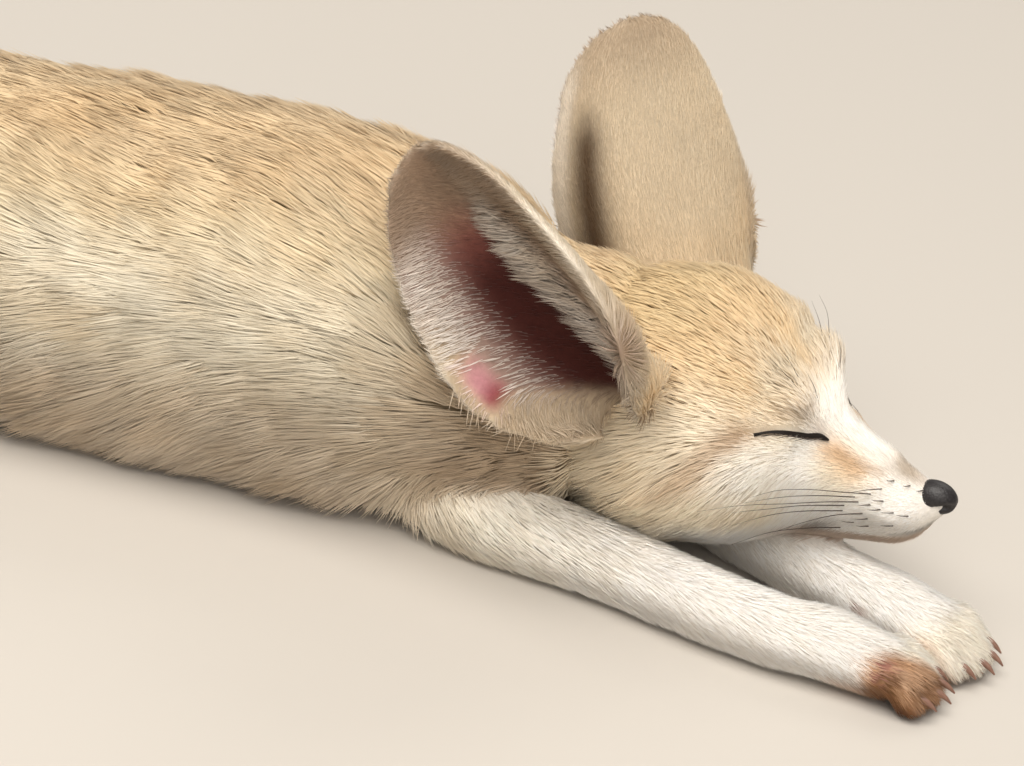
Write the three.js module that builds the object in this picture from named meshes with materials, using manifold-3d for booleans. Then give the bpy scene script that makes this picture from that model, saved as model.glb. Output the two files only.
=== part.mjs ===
// A life-size fennec fox asleep on its belly: forelegs stretched forward, chin on the left foreleg, ears up.
// Units are millimetres. X runs forward, Y to the animal's left, Z up, and the floor is at Z = 0.
// Body stations are given from a point on the floor under the toes of the right forepaw (the layout frame).
// The whole group is moved at the end so that its origin lies under the middle of the animal.
import * as THREE from "three";
import { mergeVertices } from "three/addons/utils/BufferGeometryUtils.js";
import Module from "manifold-3d";

const wasm = await Module();
wasm.setup();

// The gap that neighbouring pieces keep.
const GAP = 0.3;

const COLOURS = {
  sand: 0xd9bf94,
  cream: 0xe9dcc2,
  earBack: 0xcdb48e,
  black: 0x1d1a19,
  lid: 0x4a3a32,
};

// Small helpers for points, profiles and solids.
const vec = (x, y, z) => new THREE.Vector3(x, y, z);
const rad = THREE.MathUtils.degToRad;

// A smooth function through [place, value] pairs.
function profile(pairs) {
  const curve = new THREE.CatmullRomCurve3(pairs.map(([p, v]) => vec(p, v, 0)), false, "centripetal");
  const points = curve.getPoints(pairs.length * 12);
  return (at) => {
    if (at <= points[0].x) return points[0].y;
    for (let i = 1; i < points.length; i++) {
      if (at <= points[i].x) {
        const share = (at - points[i - 1].x) / Math.max(points[i].x - points[i - 1].x, 1e-9);
        return points[i - 1].y + share * (points[i].y - points[i - 1].y);
      }
    }
    return points[points.length - 1].y;
  };
}

// A closed three.js geometry as a manifold-3d solid, facing out.
function solidOf(geometry) {
  const bare = geometry.clone();
  bare.deleteAttribute("normal");
  bare.deleteAttribute("uv");
  const merged = mergeVertices(bare, 1e-4);
  const index = Array.from(merged.index.array);
  const triVerts = [];
  for (let i = 0; i < index.length; i += 3) {
    const [a, b, c] = index.slice(i, i + 3);
    if (a !== b && b !== c && a !== c) triVerts.push(a, b, c);
  }
  const make = (triangles) =>
    new wasm.Manifold(
      new wasm.Mesh({
        numProp: 3,
        vertProperties: new Float32Array(merged.attributes.position.array),
        triVerts: new Uint32Array(triangles),
      }),
    );
  const made = make(triVerts);
  if (made.volume() > 0) return made;
  for (let i = 0; i < triVerts.length; i += 3) {
    [triVerts[i + 1], triVerts[i + 2]] = [triVerts[i + 2], triVerts[i + 1]];
  }
  return make(triVerts);
}

// The largest closed body of a solid.
function largest(solid) {
  const bodies = solid.decompose();
  return bodies.reduce((a, b) => (b.volume() > a.volume() ? b : a));
}

const joined = (solids) => solids.reduce((a, b) => a.add(b));
const cut = (solid, cutters) => cutters.reduce((a, b) => a.subtract(b), solid);

// Moves every vertex of a three.js geometry to place(x, y, z) and makes it a solid.
function shaped(geometry, place) {
  const position = geometry.attributes.position;
  for (let i = 0; i < position.count; i++) {
    const p = place(position.getX(i), position.getY(i), position.getZ(i));
    position.setXYZ(i, p.x, p.y, p.z);
  }
  return solidOf(geometry);
}

// A round-ended tube through stations { at, w, up, down }: half-width to each side, half-heights above and
// below the centre line. It starts as a three.js sphere whose rows become the rings of the tube.
class Loft {
  constructor(stations, { sides = 18, rings = 16, capRows = 3, caps = [6, 6], square = 2, frame = null,
    floor = true, shape = null } = {}) {
    Object.assign(this, { sides, rings, capRows, caps, square, frame, floor, shape });
    this.centre = new THREE.CatmullRomCurve3(stations.map((s) => s.at), false, "centripetal");
    this.size = new THREE.CatmullRomCurve3(stations.map((s) => vec(s.w, s.up, s.down)), false, "centripetal");
  }

  // The centre, the side and up vectors and the half-sizes at t from 0 to 1.
  section(t) {
    const step = 0.01;
    const along = this.centre
      .getPoint(Math.min(1, t + step))
      .sub(this.centre.getPoint(Math.max(0, t - step)))
      .normalize();
    const side = new THREE.Vector3().crossVectors(vec(0, 0, 1), along).normalize();
    const up = new THREE.Vector3().crossVectors(along, side).normalize();
    return { at: this.centre.getPoint(t), along, side, up, size: this.size.getPoint(t) };
  }

  // A point of the surface at t along and angle round, moved out by grow; slide and shrink round the ends.
  point(t, angle, grow = 0, slide = 0, shrink = 1) {
    const { at, along, side, up, size } = this.section(t);
    const c = Math.cos(angle);
    const s = Math.sin(angle);
    const power = 2 / this.square;
    const across = Math.sign(c) * Math.abs(c) ** power * (size.x + grow);
    const high = Math.sign(s) * Math.abs(s) ** power * ((s > 0 ? size.y : size.z) + grow);
    const p = at.addScaledVector(side, across * shrink).addScaledVector(up, high * shrink);
    p.addScaledVector(along, slide);
    if (this.shape) this.shape(p, shrink);
    if (this.frame) p.applyMatrix4(this.frame);
    if (this.floor) p.z = Math.max(p.z, Math.min(0, -grow));
    return p;
  }

  // The direction out of the surface at t and angle.
  normal(t, angle) {
    const step = 0.02;
    const low = Math.max(0, t - step);
    const ahead = this.point(low + 2 * step, angle).sub(this.point(low, angle));
    const round = this.point(t, angle + step).sub(this.point(t, angle - step));
    const n = new THREE.Vector3().crossVectors(ahead, round).normalize();
    const out = this.point(t, angle, 1).sub(this.point(t, angle, 0));
    return n.dot(out) < 0 ? n.negate() : n;
  }

  // The solid between t = from and t = to. An end inside the path is flat, so that lengths meet face to face.
  solid(grow = 0, from = 0, to = 1) {
    const rings = Math.max(2, Math.round(this.rings * (to - from)));
    const rows = rings + 2 * this.capRows;
    const sphere = new THREE.SphereGeometry(1, this.sides, rows);
    const position = sphere.attributes.position;
    for (let row = 0; row <= rows; row++) {
      const fromStart = this.capRows - row;
      const fromEnd = row - (rows - this.capRows);
      const turn = (Math.max(fromStart, fromEnd, 0) / this.capRows) * (Math.PI / 2);
      const flat = fromStart > 0 ? from > 0 : to < 1;
      const cap = fromStart > 0 ? this.caps[0] : this.caps[1];
      const length = flat ? grow : Math.sin(turn) * (cap + grow);
      const slide = turn === 0 ? 0 : Math.sign(fromEnd) * length;
      const t = from + (to - from) * THREE.MathUtils.clamp((row - this.capRows) / rings, 0, 1);
      const shrink = row === 0 || row === rows ? 0 : Math.cos(turn);
      for (let column = 0; column <= this.sides; column++) {
        const angle = ((column % this.sides) / this.sides) * 2 * Math.PI;
        const p = this.point(t, angle, grow, slide, shrink);
        position.setXYZ(row * (this.sides + 1) + column, p.x, p.y, p.z);
      }
    }
    return solidOf(sphere);
  }
}

const station = (x, y, z, w, up, down = up) => ({ at: vec(x, y, z), w, up, down });

// A seeded draw between low and high, so that every build gives the same coat.
let seed = 7;
function draw(low, high) {
  seed = (seed * 1664525 + 1013904223) % 4294967296;
  return low + (high - low) * (seed / 4294967296);
}

// A lock of the coat: a flat blade with a ridge, rooted in the core of a loft at t and angle. It rises out of
// the core, follows it along the lie, widens, then tapers to its tip at the outline, depth above the core.
// lie is +1 towards the end of the loft, -1 back. Tips ride over the roots of the next row.
const LOCK_WIDTH = profile([[0, 0.62], [0.35, 1], [0.7, 0.72], [1, 0]]);
const LOCK_LIFT = profile([[0, -0.5], [0.15, 0.3], [0.35, 0.55], [0.7, 0.86], [1, 1.08]]);
// The corners of the three-sided blade stand at sin 60 degrees to each side of its ridge.
const LOCK_CORNER = Math.sin(rad(60));
const LOCK_RIDGE = 0.66;
// Locks keep this far above the floor, so that only the flats of the body and feet touch it.
const FLOOR_CLEAR = 0.6;

function lock(loft, { t, angle, lie, turn, long, wide, thick, depth }, grow) {
  const whole = loft.centre.getLength();
  const spine = (s) => {
    const along = t + (lie * s * long) / whole;
    const inside = THREE.MathUtils.clamp(along, 0, 1);
    const p = loft.point(inside, angle + turn * s, depth * (LOCK_LIFT(s) - 1), (along - inside) * whole);
    return p.setZ(Math.max(p.z, 4 * FLOOR_CLEAR));
  };
  return shaped(new THREE.ConeGeometry(1, 1, 3, 3), (x, y, z) => {
    const s = y + 0.5;
    const left = Math.max(1 - s, 1e-6);
    const at = spine(s);
    const ahead = spine(s + 0.05).sub(spine(s - 0.05)).normalize();
    const near = THREE.MathUtils.clamp(t + (lie * s * long) / whole, 0.02, 0.98);
    const skin = loft.normal(near, angle + turn * s);
    const side = new THREE.Vector3().crossVectors(skin, ahead).normalize();
    const out = new THREE.Vector3().crossVectors(ahead, side);
    // In a grown blade each face moves out by grow, so the side corners move out further.
    const ridge = thick * LOCK_RIDGE * (1 - 0.5 * s);
    const wider = 1 + (4 * grow) / (3 * ridge);
    const across = (x / left / LOCK_CORNER) * (wide / 2) * LOCK_WIDTH(s) * wider;
    const high = (z / left) * ridge + Math.sign(z) * grow;
    at.addScaledVector(side, s < 1 ? across : 0).addScaledVector(out, s < 1 ? high : 0);
    at.addScaledVector(ahead, s < 1 ? -grow * (1 - Math.sign(s)) : 3 * grow);
    at.z = Math.max(at.z, FLOOR_CLEAR - grow);
    return at;
  });
}

// Locks in staggered rows over a loft, from t[0] to t[1] and between the angles given in degrees. On the
// flanks they droop towards the ground. None is made where hidden(t, angle) says that another piece covers
// the loft.
function coat(loft, { t, rows, angles, across, lie = 1, droop = 0.25, hidden = () => false, ...size }) {
  const list = [];
  for (let row = 0; row < rows; row++) {
    for (let i = 0; i < across; i++) {
      const share = (i + (row % 2 ? 0.75 : 0.25)) / across;
      const angle = rad(angles[0] + (angles[1] - angles[0]) * share + draw(-4, 4));
      const scale = draw(0.85, 1.12);
      const place = THREE.MathUtils.lerp(t[0], t[1], (row + draw(-0.15, 0.15)) / Math.max(1, rows - 1));
      if (hidden(place, angle)) continue;
      list.push({
        t: place,
        angle,
        lie,
        turn: -Math.cos(angle) * droop + draw(-0.06, 0.06),
        long: size.long * scale,
        wide: size.wide * draw(0.9, 1.1),
        thick: size.thick,
        depth: size.depth,
      });
    }
  }
  return list;
}

// A core that lies inside the outline by the depth of its locks, which reach out to the outline.
const furred = (loft, locks, core = -locks[0].depth) => (grow, from = 0, to = 1) =>
  joined([loft.solid(grow + core, from, to), ...locks.map((each) => lock(loft, each, grow))]);

// Torso: from the chest, turned towards the right forepaw, back along the spine to the rump.
const torso = new Loft(
  [
    station(-92, 52, 33, 22, 24, 32),
    station(-112, 56, 40, 34, 38, 43),
    station(-136, 62, 45, 42, 46, 53),
    station(-164, 67, 47, 45, 47, 57),
    station(-196, 71, 47, 46.5, 45, 58),
    station(-228, 74, 46, 47, 43, 57),
    station(-260, 76, 45, 47, 40.5, 55),
    station(-290, 77.5, 42, 43, 39, 51),
    station(-314, 78, 39, 35, 34, 45),
    station(-327, 78, 37, 24, 24, 36),
  ],
  { sides: 20, rings: 15, capRows: 2, caps: [9, 10], square: 2.25 },
);

// Neck: thick with fur, from inside the chest to the back of the head.
const neck = new Loft(
  [
    station(-140, 62, 52, 33, 34, 40),
    station(-122, 65, 50, 32, 31, 39),
    station(-105, 65, 48, 31, 30, 36),
    station(-90, 65, 47, 30, 30, 34),
    station(-78, 64, 47, 26, 28, 31),
  ],
  { sides: 16, rings: 6, capRows: 2, caps: [4, 8], square: 2.1 },
);

// The head's own frame: origin at the tip of the nose, X forward, Y left, Z towards the crown.
const NOSE_AT = vec(3.8, 39, 41.8);
const HEAD_TURN = { yaw: -16, pitch: 2, roll: 4 };
const headFrame = new THREE.Matrix4()
  .makeTranslation(NOSE_AT.x, NOSE_AT.y, NOSE_AT.z)
  .multiply(new THREE.Matrix4().makeRotationZ(rad(HEAD_TURN.yaw)))
  .multiply(new THREE.Matrix4().makeRotationY(-rad(HEAD_TURN.pitch)))
  .multiply(new THREE.Matrix4().makeRotationX(rad(HEAD_TURN.roll)));

const headStation = (x, middle, w, top, bottom) => ({
  at: vec(x, 0, middle),
  w,
  up: top - middle,
  down: middle - bottom,
});

// Soft bumps and hollows of a given reach and height round places in the head's frame, alike on both sides.
const HEAD_BUMPS = {
  brow: { at: vec(-40, 12, 21), reach: vec(8.5, 7.5, 7), push: 4.4 },
  eyeHollow: { at: vec(-40, 15, 11), reach: vec(9, 6, 5.5), push: -2 },
  cheekbone: { at: vec(-56, 27, 2), reach: vec(12.5, 9, 9), push: 2 },
  whiskerPad: { at: vec(-14, 7, -6), reach: vec(8, 5.5, 5), push: 1.2 },
  stop: { at: vec(-33, 3.5, 13), reach: vec(7, 7, 5.5), push: -1.6 },
};

function headShape(p, shrink) {
  const mirrored = vec(p.x, Math.abs(p.y), p.z);
  for (const bump of Object.values(HEAD_BUMPS)) {
    const d = mirrored.clone().sub(bump.at).divide(bump.reach).length();
    const out = vec(0, p.y, p.z + 2).normalize();
    p.addScaledVector(out, bump.push * Math.exp(-d * d * 1.6) * shrink);
  }
}

const head = new Loft(
  [
    headStation(-4.5, -2.5, 4.5, 2.8, -7.5),
    headStation(-9, -4, 6.8, 5, -13.2),
    headStation(-15, -5.5, 8.6, 7.2, -18),
    headStation(-22, -5.5, 10.2, 9.2, -19.8),
    headStation(-29, -5, 13.2, 12, -20.8),
    headStation(-36, -4, 18, 17, -22),
    headStation(-44, -3, 26.5, 25, -24.5),
    headStation(-54, -2, 33.5, 33.5, -28.5),
    headStation(-64, 0, 38, 39, -31.5),
    headStation(-75, 2, 39, 41.5, -33),
    headStation(-85, 3, 36, 39.5, -31),
    headStation(-93, 3, 30, 34, -27),
  ],
  {
    sides: 20, rings: 18, capRows: 2, caps: [3, 6], square: 2.05,
    frame: headFrame, floor: false, shape: headShape,
  },
);

// The ears: a cupped sheet that is a near-closed tube at its root and opens towards a round tip.
const EAR_LENGTH = 87;
// How far the blade sweeps to the rear at half its length, and how far its tip leans away from its opening.
const EAR_SWEEP = 2;
const EAR_ARCH = -5;
const EAR_ARC = profile([
  [0, 24], [0.12, 33], [0.3, 37.5], [0.5, 34], [0.7, 28], [0.85, 21.5], [0.95, 14], [1, 5],
]);
const EAR_CURL = profile([[0, 150], [0.15, 118], [0.32, 88], [0.5, 70], [0.7, 58], [1, 42]]);
const EAR_WALL = profile([[0, 5.5], [0.3, 4.6], [0.8, 3.4], [1, 2.4]]);
const EAR_STEPS = { along: 12, across: 10 };

// u runs from root to tip, v from the front margin (-1) to the rear one (+1), depth from inside (0) to the
// back (1).
function earPoint(ear, u, v, depth) {
  const curl = rad(EAR_CURL(u));
  const radius = EAR_ARC(u) / curl;
  const wall = EAR_WALL(u) * (0.2 + 0.8 * Math.sqrt(Math.max(0, 1 - v ** 4)));
  const out = radius + (depth - 0.5) * wall;
  return ear.root
    .clone()
    .addScaledVector(ear.axis, u * EAR_LENGTH)
    .addScaledVector(ear.facing, radius - out * Math.cos(v * curl) + EAR_ARCH * u * u)
    .addScaledVector(ear.side, out * Math.sin(v * curl) + EAR_SWEEP * Math.sin(u * Math.PI));
}

function earSolid(ear, grow = 0) {
  const alongTip = profile([[0, 0], [0.5, 0.52], [0.8, 0.83], [0.93, 0.95], [1, 1]]);
  const box = new THREE.BoxGeometry(1, 1, 1, EAR_STEPS.across, EAR_STEPS.along, 1);
  return shaped(box, (x, y, z) => {
    const depth = z + 0.5 + (Math.sign(z) * grow) / 4;
    return earPoint(ear, alongTip(y + 0.5), x * 2, depth);
  });
}

// An ear from its root, axis and facing in the head's frame. Its side vector points to its rear margin.
function makeEar({ root, axis, facing }) {
  const a = axis.clone().transformDirection(headFrame);
  const f = facing.clone().transformDirection(headFrame);
  f.addScaledVector(a, -f.dot(a)).normalize();
  const side = new THREE.Vector3().crossVectors(f, a);
  if (side.x > 0) side.negate();
  return { root: root.clone().applyMatrix4(headFrame), axis: a, facing: f, side };
}

const EARS = {
  right: makeEar({ root: vec(-80, -30, 22), axis: vec(-0.69, -0.27, 0.68), facing: vec(0.2, -0.95, -0.2) }),
  left: makeEar({ root: vec(-77, 27, 9), axis: vec(-0.5, 0.16, 0.85), facing: vec(-0.7, 0.75, -0.2) }),
};

// Tufts of long pale hair on the front margin of an ear, pointing back across the opening of its cup.
const FRINGE = { from: 0.2, to: 0.72, count: 6, long: 15, wide: 8, thick: 1.6 };

function fringe(ear, grow) {
  const tufts = [];
  const bigger = 1 + (2 * grow) / FRINGE.thick;
  for (let i = 0; i < FRINGE.count; i++) {
    const u = THREE.MathUtils.lerp(FRINGE.from, FRINGE.to, i / (FRINGE.count - 1));
    const root = earPoint(ear, u, -0.93, 0.5);
    const over = earPoint(ear, u - 0.06, 0.1, 0.5).sub(root).normalize();
    tufts.push(shaped(new THREE.ConeGeometry(1, 1, 3, 2), (x, y, z) => {
      const s = y + 0.5;
      return root
        .clone()
        .addScaledVector(over, s * FRINGE.long * (0.8 + 0.4 * Math.sin(i * 2.4) ** 2) - 0.5)
        .addScaledVector(ear.facing, 3.5 * Math.sin(s * 2.4) + z * FRINGE.thick * bigger)
        .addScaledVector(ear.axis, x * (FRINGE.wide / 2) * bigger - 5 * s * s);
    }));
  }
  return tufts;
}

// Closed lids: a low mound over each eye, parted by the curved line of the lashes.
const EYE = { at: vec(-42, 17, 13), long: 10, high: 6.2, proud: 4.6, turn: 40, slit: 0.45, bow: 1.6 };

function lidSolid(sign, grow = 0) {
  const turn = rad(EYE.turn);
  const along = vec(Math.cos(turn), -sign * Math.sin(turn), -0.05).normalize();
  const out = vec(Math.sin(turn), sign * Math.cos(turn), 0.3).normalize();
  const up = new THREE.Vector3().crossVectors(along, out).multiplyScalar(-sign);
  const at = vec(EYE.at.x, sign * EYE.at.y, EYE.at.z);
  const place = (a, b, c) =>
    at
      .clone()
      .addScaledVector(along, a)
      .addScaledVector(up, b)
      .addScaledVector(out, c)
      .applyMatrix4(headFrame);
  const mound = shaped(new THREE.SphereGeometry(1, 12, 8), (x, y, z) =>
    place(x * (EYE.long + grow), y * (EYE.high + grow), z * (EYE.proud + grow)));
  if (grow > 0) return mound;
  const groove = shaped(new THREE.BoxGeometry(2, 2, 2, 6, 1, 1), (x, y, z) => {
    const a = x * EYE.long * 0.92;
    const b = -EYE.bow * (1 - x * x) + y * EYE.slit * (1 + z) * 0.8;
    return place(a, b, EYE.proud * (0.75 + 0.6 * z) * Math.sqrt(Math.max(0.05, 1 - 0.75 * x * x)));
  });
  return mound.subtract(groove);
}

// Nose leather with its two nostrils.
const NOSE = { long: 6, wide: 4.4, high: 4.3, nostril: 1.15, apart: 2.3 };

function noseSolid(grow = 0) {
  const pad = shaped(new THREE.SphereGeometry(1, 12, 8), (x, y, z) => {
    const taper = 1 - 0.22 * Math.max(0, -z) - 0.12 * x;
    return vec(
      x * (NOSE.long + grow) - NOSE.long,
      y * (NOSE.wide + grow) * taper,
      z * (NOSE.high + grow) - 1.1,
    ).applyMatrix4(headFrame);
  });
  if (grow > 0) return pad;
  const pits = [-1, 1].map((sign) =>
    shaped(new THREE.SphereGeometry(1, 6, 4), (x, y, z) => {
      const across = sign * (NOSE.apart + 0.3 * x) + y * NOSE.nostril;
      const high = z * NOSE.nostril * 0.8 - 1.6 - 0.4 * y * sign;
      return vec(x * 2.6 - 0.6, across, high).applyMatrix4(headFrame);
    }));
  return cut(pad, pits);
}

// The mouth line: a shallow groove from under the nose back to each corner of the mouth.
const MOUTH = { start: -4, corner: -34, depth: 1.5, open: 0.5 };
const MOUTH_RISE = profile([[-34, -9.5], [-24, -12.6], [-12, -12.2], [-4, -9]]);

function mouthGroove(sign) {
  const strip = new THREE.BoxGeometry(1, 2, 2, 7, 1, 1);
  return shaped(strip, (x, y, z) => {
    const at = THREE.MathUtils.lerp(MOUTH.start, MOUTH.corner, x + 0.5);
    const angle = Math.atan2(MOUTH_RISE(at) + 6, 9);
    const outer = muzzleReach(at, angle) + MOUTH.depth * z;
    const lift = y * MOUTH.open * (z > 0 ? 1.4 : 0.5);
    const high = outer * Math.sin(angle) - 6 + lift;
    return vec(at, sign * outer * Math.cos(angle), high).applyMatrix4(headFrame);
  });
}

// How far the side of the muzzle lies from its middle line at x, looking out and down at the given angle.
function muzzleReach(x, angle) {
  const inverse = headFrame.clone().invert();
  let best = vec(0, 0, 0);
  let gap = Infinity;
  for (let t = 0; t <= 0.6; t += 0.01) {
    const p = head.point(t, angle).applyMatrix4(inverse);
    if (Math.abs(p.x - x) < gap) {
      gap = Math.abs(p.x - x);
      best = p;
    }
  }
  return Math.hypot(best.y, best.z + 6);
}

// Forelegs: elbow, forearm, wrist and the back of the paw.
const FORELEGS = {
  right: {
    shoulder: vec(-134, 48, 26),
    elbow: vec(-119, 39, 14),
    wrist: vec(-37, 11, 10),
    knuckles: vec(-6, 7.5, 8),
  },
  left: {
    shoulder: vec(-112, 92, 24),
    elbow: vec(-89, 91, 14),
    wrist: vec(-19, 40, 11),
    knuckles: vec(6, 31, 8.4),
  },
};

function foreleg({ shoulder, elbow, wrist, knuckles }) {
  const mid = elbow.clone().lerp(wrist, 0.45).setZ(11);
  const palm = wrist.clone().lerp(knuckles, 0.5).setZ(10);
  return new Loft(
    [
      { at: shoulder, w: 15, up: 16, down: 20 },
      { at: elbow, w: 11.5, up: 12.5, down: 14 },
      { at: mid, w: 9.8, up: 10.6, down: 11 },
      { at: wrist, w: 9.8, up: 10, down: 10.5 },
      { at: palm, w: 11, up: 9.6, down: 10 },
      { at: knuckles, w: 11.4, up: 8, down: 8.8 },
    ],
    { sides: 10, rings: 9, capRows: 2, caps: [6, 5], square: 2.2 },
  );
}

// Thighs: the folded hind leg shows as one broad oval from hip to knee, with the foot flat below it.
const MIDLINE_REAR = 77.5;

function thigh(sign) {
  const side = (y) => MIDLINE_REAR + sign * y;
  return new Loft(
    [
      station(-318, side(20), 46, 16, 22, 24),
      station(-303, side(29), 44, 19, 29, 31),
      station(-284, side(34), 39, 19.5, 30, 36),
      station(-266, side(36), 32, 16.5, 25, 30),
      station(-252, side(37), 25, 12, 17, 22),
    ],
    { sides: 12, rings: 7, capRows: 2, caps: [8, 7] },
  );
}

function hindFoot(sign) {
  const side = (y) => MIDLINE_REAR + sign * y;
  return new Loft(
    [
      station(-322, side(42), 14, 8, 11, 13),
      station(-306, side(46), 10.5, 8.8, 9.4, 10.5),
      station(-288, side(48), 9, 9, 8, 9),
      station(-272, side(49), 8.6, 10, 7.6, 8.6),
    ],
    { sides: 10, rings: 6, capRows: 2, caps: [7, 5], square: 2.2 },
  );
}

// Tail: leaves the rump, falls to the floor and curls forward beside the right hind foot.
const tail = new Loft(
  [
    station(-324, 77.5, 42, 11.5, 11.5, 12.5),
    station(-343, 75, 33.5, 15.5, 15.5, 16),
    station(-361, 64, 25, 18, 18, 22),
    station(-371, 46, 20.5, 20, 20, 25),
    station(-370, 24, 20, 20.5, 20, 26),
    station(-358, 5, 20, 21, 20, 26),
    station(-337, -7, 19.5, 20.5, 20, 25.5),
    station(-313, -11, 17.5, 18.5, 18, 23),
    station(-292, -10, 14, 14, 13.5, 18),
    station(-279, -8, 10, 8, 8, 12),
  ],
  { sides: 12, rings: 20, capRows: 2, caps: [4, 6] },
);
const TAIL_LENGTHS = { tail_base: [0, 0.36], tail_middle: [0.36, 0.68], tail_tip: [0.68, 1] };

// Toes and claws: each toe is a small bent tube from the knuckles to the floor, with a curved claw at its
// end.
const CLAW = { long: 8, thick: 1.7, drop: 3.4 };

function pawOf(knuckles, wrist, { spread, length, size = 4.4, count = 4 }, grow = 0) {
  const forward = knuckles.clone().sub(wrist).setZ(0).normalize();
  const side = vec(-forward.y, forward.x, 0);
  const pieces = [];
  for (let i = 0; i < count; i++) {
    const across = (i - (count - 1) / 2) / ((count - 1) / 2);
    const reach = length * (1 - 0.2 * across * across);
    const from = (ahead, apart) =>
      knuckles.clone().addScaledVector(forward, ahead).addScaledVector(side, across * spread * apart);
    const start = from(-4, 0.8);
    const bend = from(reach * 0.5 - 4, 0.92);
    const tip = from(reach - 4, 1);
    const toe = new Loft(
      [
        { at: start.setZ(knuckles.z + 0.5), w: size * 0.95, up: size, down: size },
        { at: bend.setZ(knuckles.z + 0.8), w: size, up: size * 1.05, down: size },
        { at: tip.setZ(size), w: size, up: size, down: size + 0.3 },
      ],
      { sides: 6, rings: 2, capRows: 2, caps: [2, 3.6] },
    );
    const claw = shaped(new THREE.ConeGeometry(1, 1, 4, 2), (x, y, z) => {
      const along = y + 0.5;
      return tip
        .clone()
        .addScaledVector(forward, along * (CLAW.long + grow) + 0.5)
        .addScaledVector(side, x * (CLAW.thick * 0.8 + grow))
        .add(vec(0, 0, 1.6 + z * (CLAW.thick + grow) - CLAW.drop * along * along));
    });
    pieces.push(toe.solid(grow), claw);
  }
  return joined(pieces);
}

// Puts a named mesh into the group, cut clear of all that stands there already. make(grow) gives the solid
// moved out by grow, and extra cutters are taken away from this one only.
const group = new THREE.Group();
const placed = [];

function place(name, make, color, { roughness = 0.9, without = [] } = {}) {
  const solid = largest(cut(make(0), [...placed, ...without]));
  const mesh = solid.getMesh();
  placed.push(make(GAP).add(solid));
  const positions = new Float32Array(mesh.numVert * 3);
  for (let i = 0; i < mesh.numVert; i++) {
    positions.set(mesh.vertProperties.subarray(i * mesh.numProp, i * mesh.numProp + 3), i * 3);
  }
  const geometry = new THREE.BufferGeometry();
  geometry.setAttribute("position", new THREE.BufferAttribute(positions, 3));
  geometry.setIndex(new THREE.BufferAttribute(mesh.triVerts, 1));
  geometry.computeVertexNormals();
  const node = new THREE.Mesh(geometry, new THREE.MeshStandardMaterial({ color, roughness, metalness: 0 }));
  node.name = name;
  group.add(node);
}

// Body, legs and feet.
const BODY_COAT = { long: 46, wide: 28, thick: 2.6, depth: 5.5 };
const underThigh = (t, angle) => t > 0.7 && Math.sin(angle) < 0.55;
const ALL_ROUND = [-55, 235];
const torsoRows = { t: [0.12, 0.94], rows: 7, angles: ALL_ROUND, across: 8 };
const torsoLocks = coat(torso, { ...BODY_COAT, ...torsoRows, hidden: underThigh });
place("torso", furred(torso, torsoLocks), COLOURS.sand);

for (const [name, leg] of Object.entries(FORELEGS)) {
  const toes = { spread: 8.6, length: 16 };
  const whole = (grow) => foreleg(leg).solid(grow).add(pawOf(leg.knuckles, leg.wrist, toes, grow));
  place(`foreleg_${name}`, whole, COLOURS.cream);
}

for (const [name, sign] of [["right", -1], ["left", 1]]) {
  const foot = hindFoot(sign);
  const [knuckles, heel] = [foot.centre.getPoint(1), foot.centre.getPoint(0.4)];
  const toes = { spread: 7.6, length: 14, size: 4 };
  const whole = (grow) => foot.solid(grow).add(pawOf(knuckles, heel, toes, grow));
  place(`hind_foot_${name}`, whole, COLOURS.cream);
  const upper = thigh(sign);
  const outside = sign > 0 ? [-30, 100] : [80, 210];
  const rows = { t: [0.85, 0.1], rows: 3, angles: outside, across: 3, lie: -1, droop: 0.5 };
  const locks = coat(upper, { ...BODY_COAT, ...rows, long: 34, wide: 22 });
  place(`hind_leg_${name}`, furred(upper, locks), COLOURS.sand);
}

// Neck, head and what the head carries.
const neckRows = { t: [0.68, 0.42], rows: 2, angles: [-40, 220], across: 7, lie: -1 };
const neckLocks = coat(neck, { ...BODY_COAT, ...neckRows, long: 36, wide: 24 });
place("neck", furred(neck, neckLocks), COLOURS.sand);
place("nose", noseSolid, COLOURS.black, { roughness: 0.4 });
place("eye_right_closed_lids", (grow) => lidSolid(-1, grow), COLOURS.lid);
place("eye_left_closed_lids", (grow) => lidSolid(1, grow), COLOURS.lid);

const RUFF = { t: [0.72, 0.92], rows: 2, across: 4, droop: 0.15, long: 24, wide: 14, thick: 2.4, depth: 5 };
const cheekLocks = [[-75, 15], [165, 255]].flatMap((angles) => coat(head, { ...RUFF, angles }));
const grooves = [-1, 1].map(mouthGroove);
place("head", furred(head, cheekLocks, 0), COLOURS.sand, { without: grooves });
for (const [name, ear] of Object.entries(EARS)) {
  place(`ear_${name}`, (grow) => joined([earSolid(ear, grow), ...fringe(ear, grow)]), COLOURS.earBack);
}

// The tail in three lengths, each with its own part of the brush.
const TAIL_COAT = { long: 42, wide: 21, thick: 2.6, depth: 6 };
for (const [name, [from, to]] of Object.entries(TAIL_LENGTHS)) {
  const step = (to - from) / 2;
  const rows = { t: [from + step * 0.12, to - step * 0.9], rows: 2, angles: ALL_ROUND, across: 5 };
  const whole = furred(tail, coat(tail, { ...TAIL_COAT, ...rows, droop: 0.1 }));
  place(name, (grow) => whole(grow, from, to), COLOURS.sand);
}

// The origin goes under the middle of the animal's box.
const middle = new THREE.Box3().setFromObject(group).getCenter(new THREE.Vector3());
group.position.set(-middle.x, -middle.y, 0);

export default group;
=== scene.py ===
# A fennec fox asleep on its belly, life size: skin, coat, nose, lids, whiskers and claws over its solids.
import math

import bpy
import numpy as np
from mathutils import Matrix, Vector
from mathutils.bvhtree import BVHTree
from mathutils.kdtree import KDTree


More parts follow.
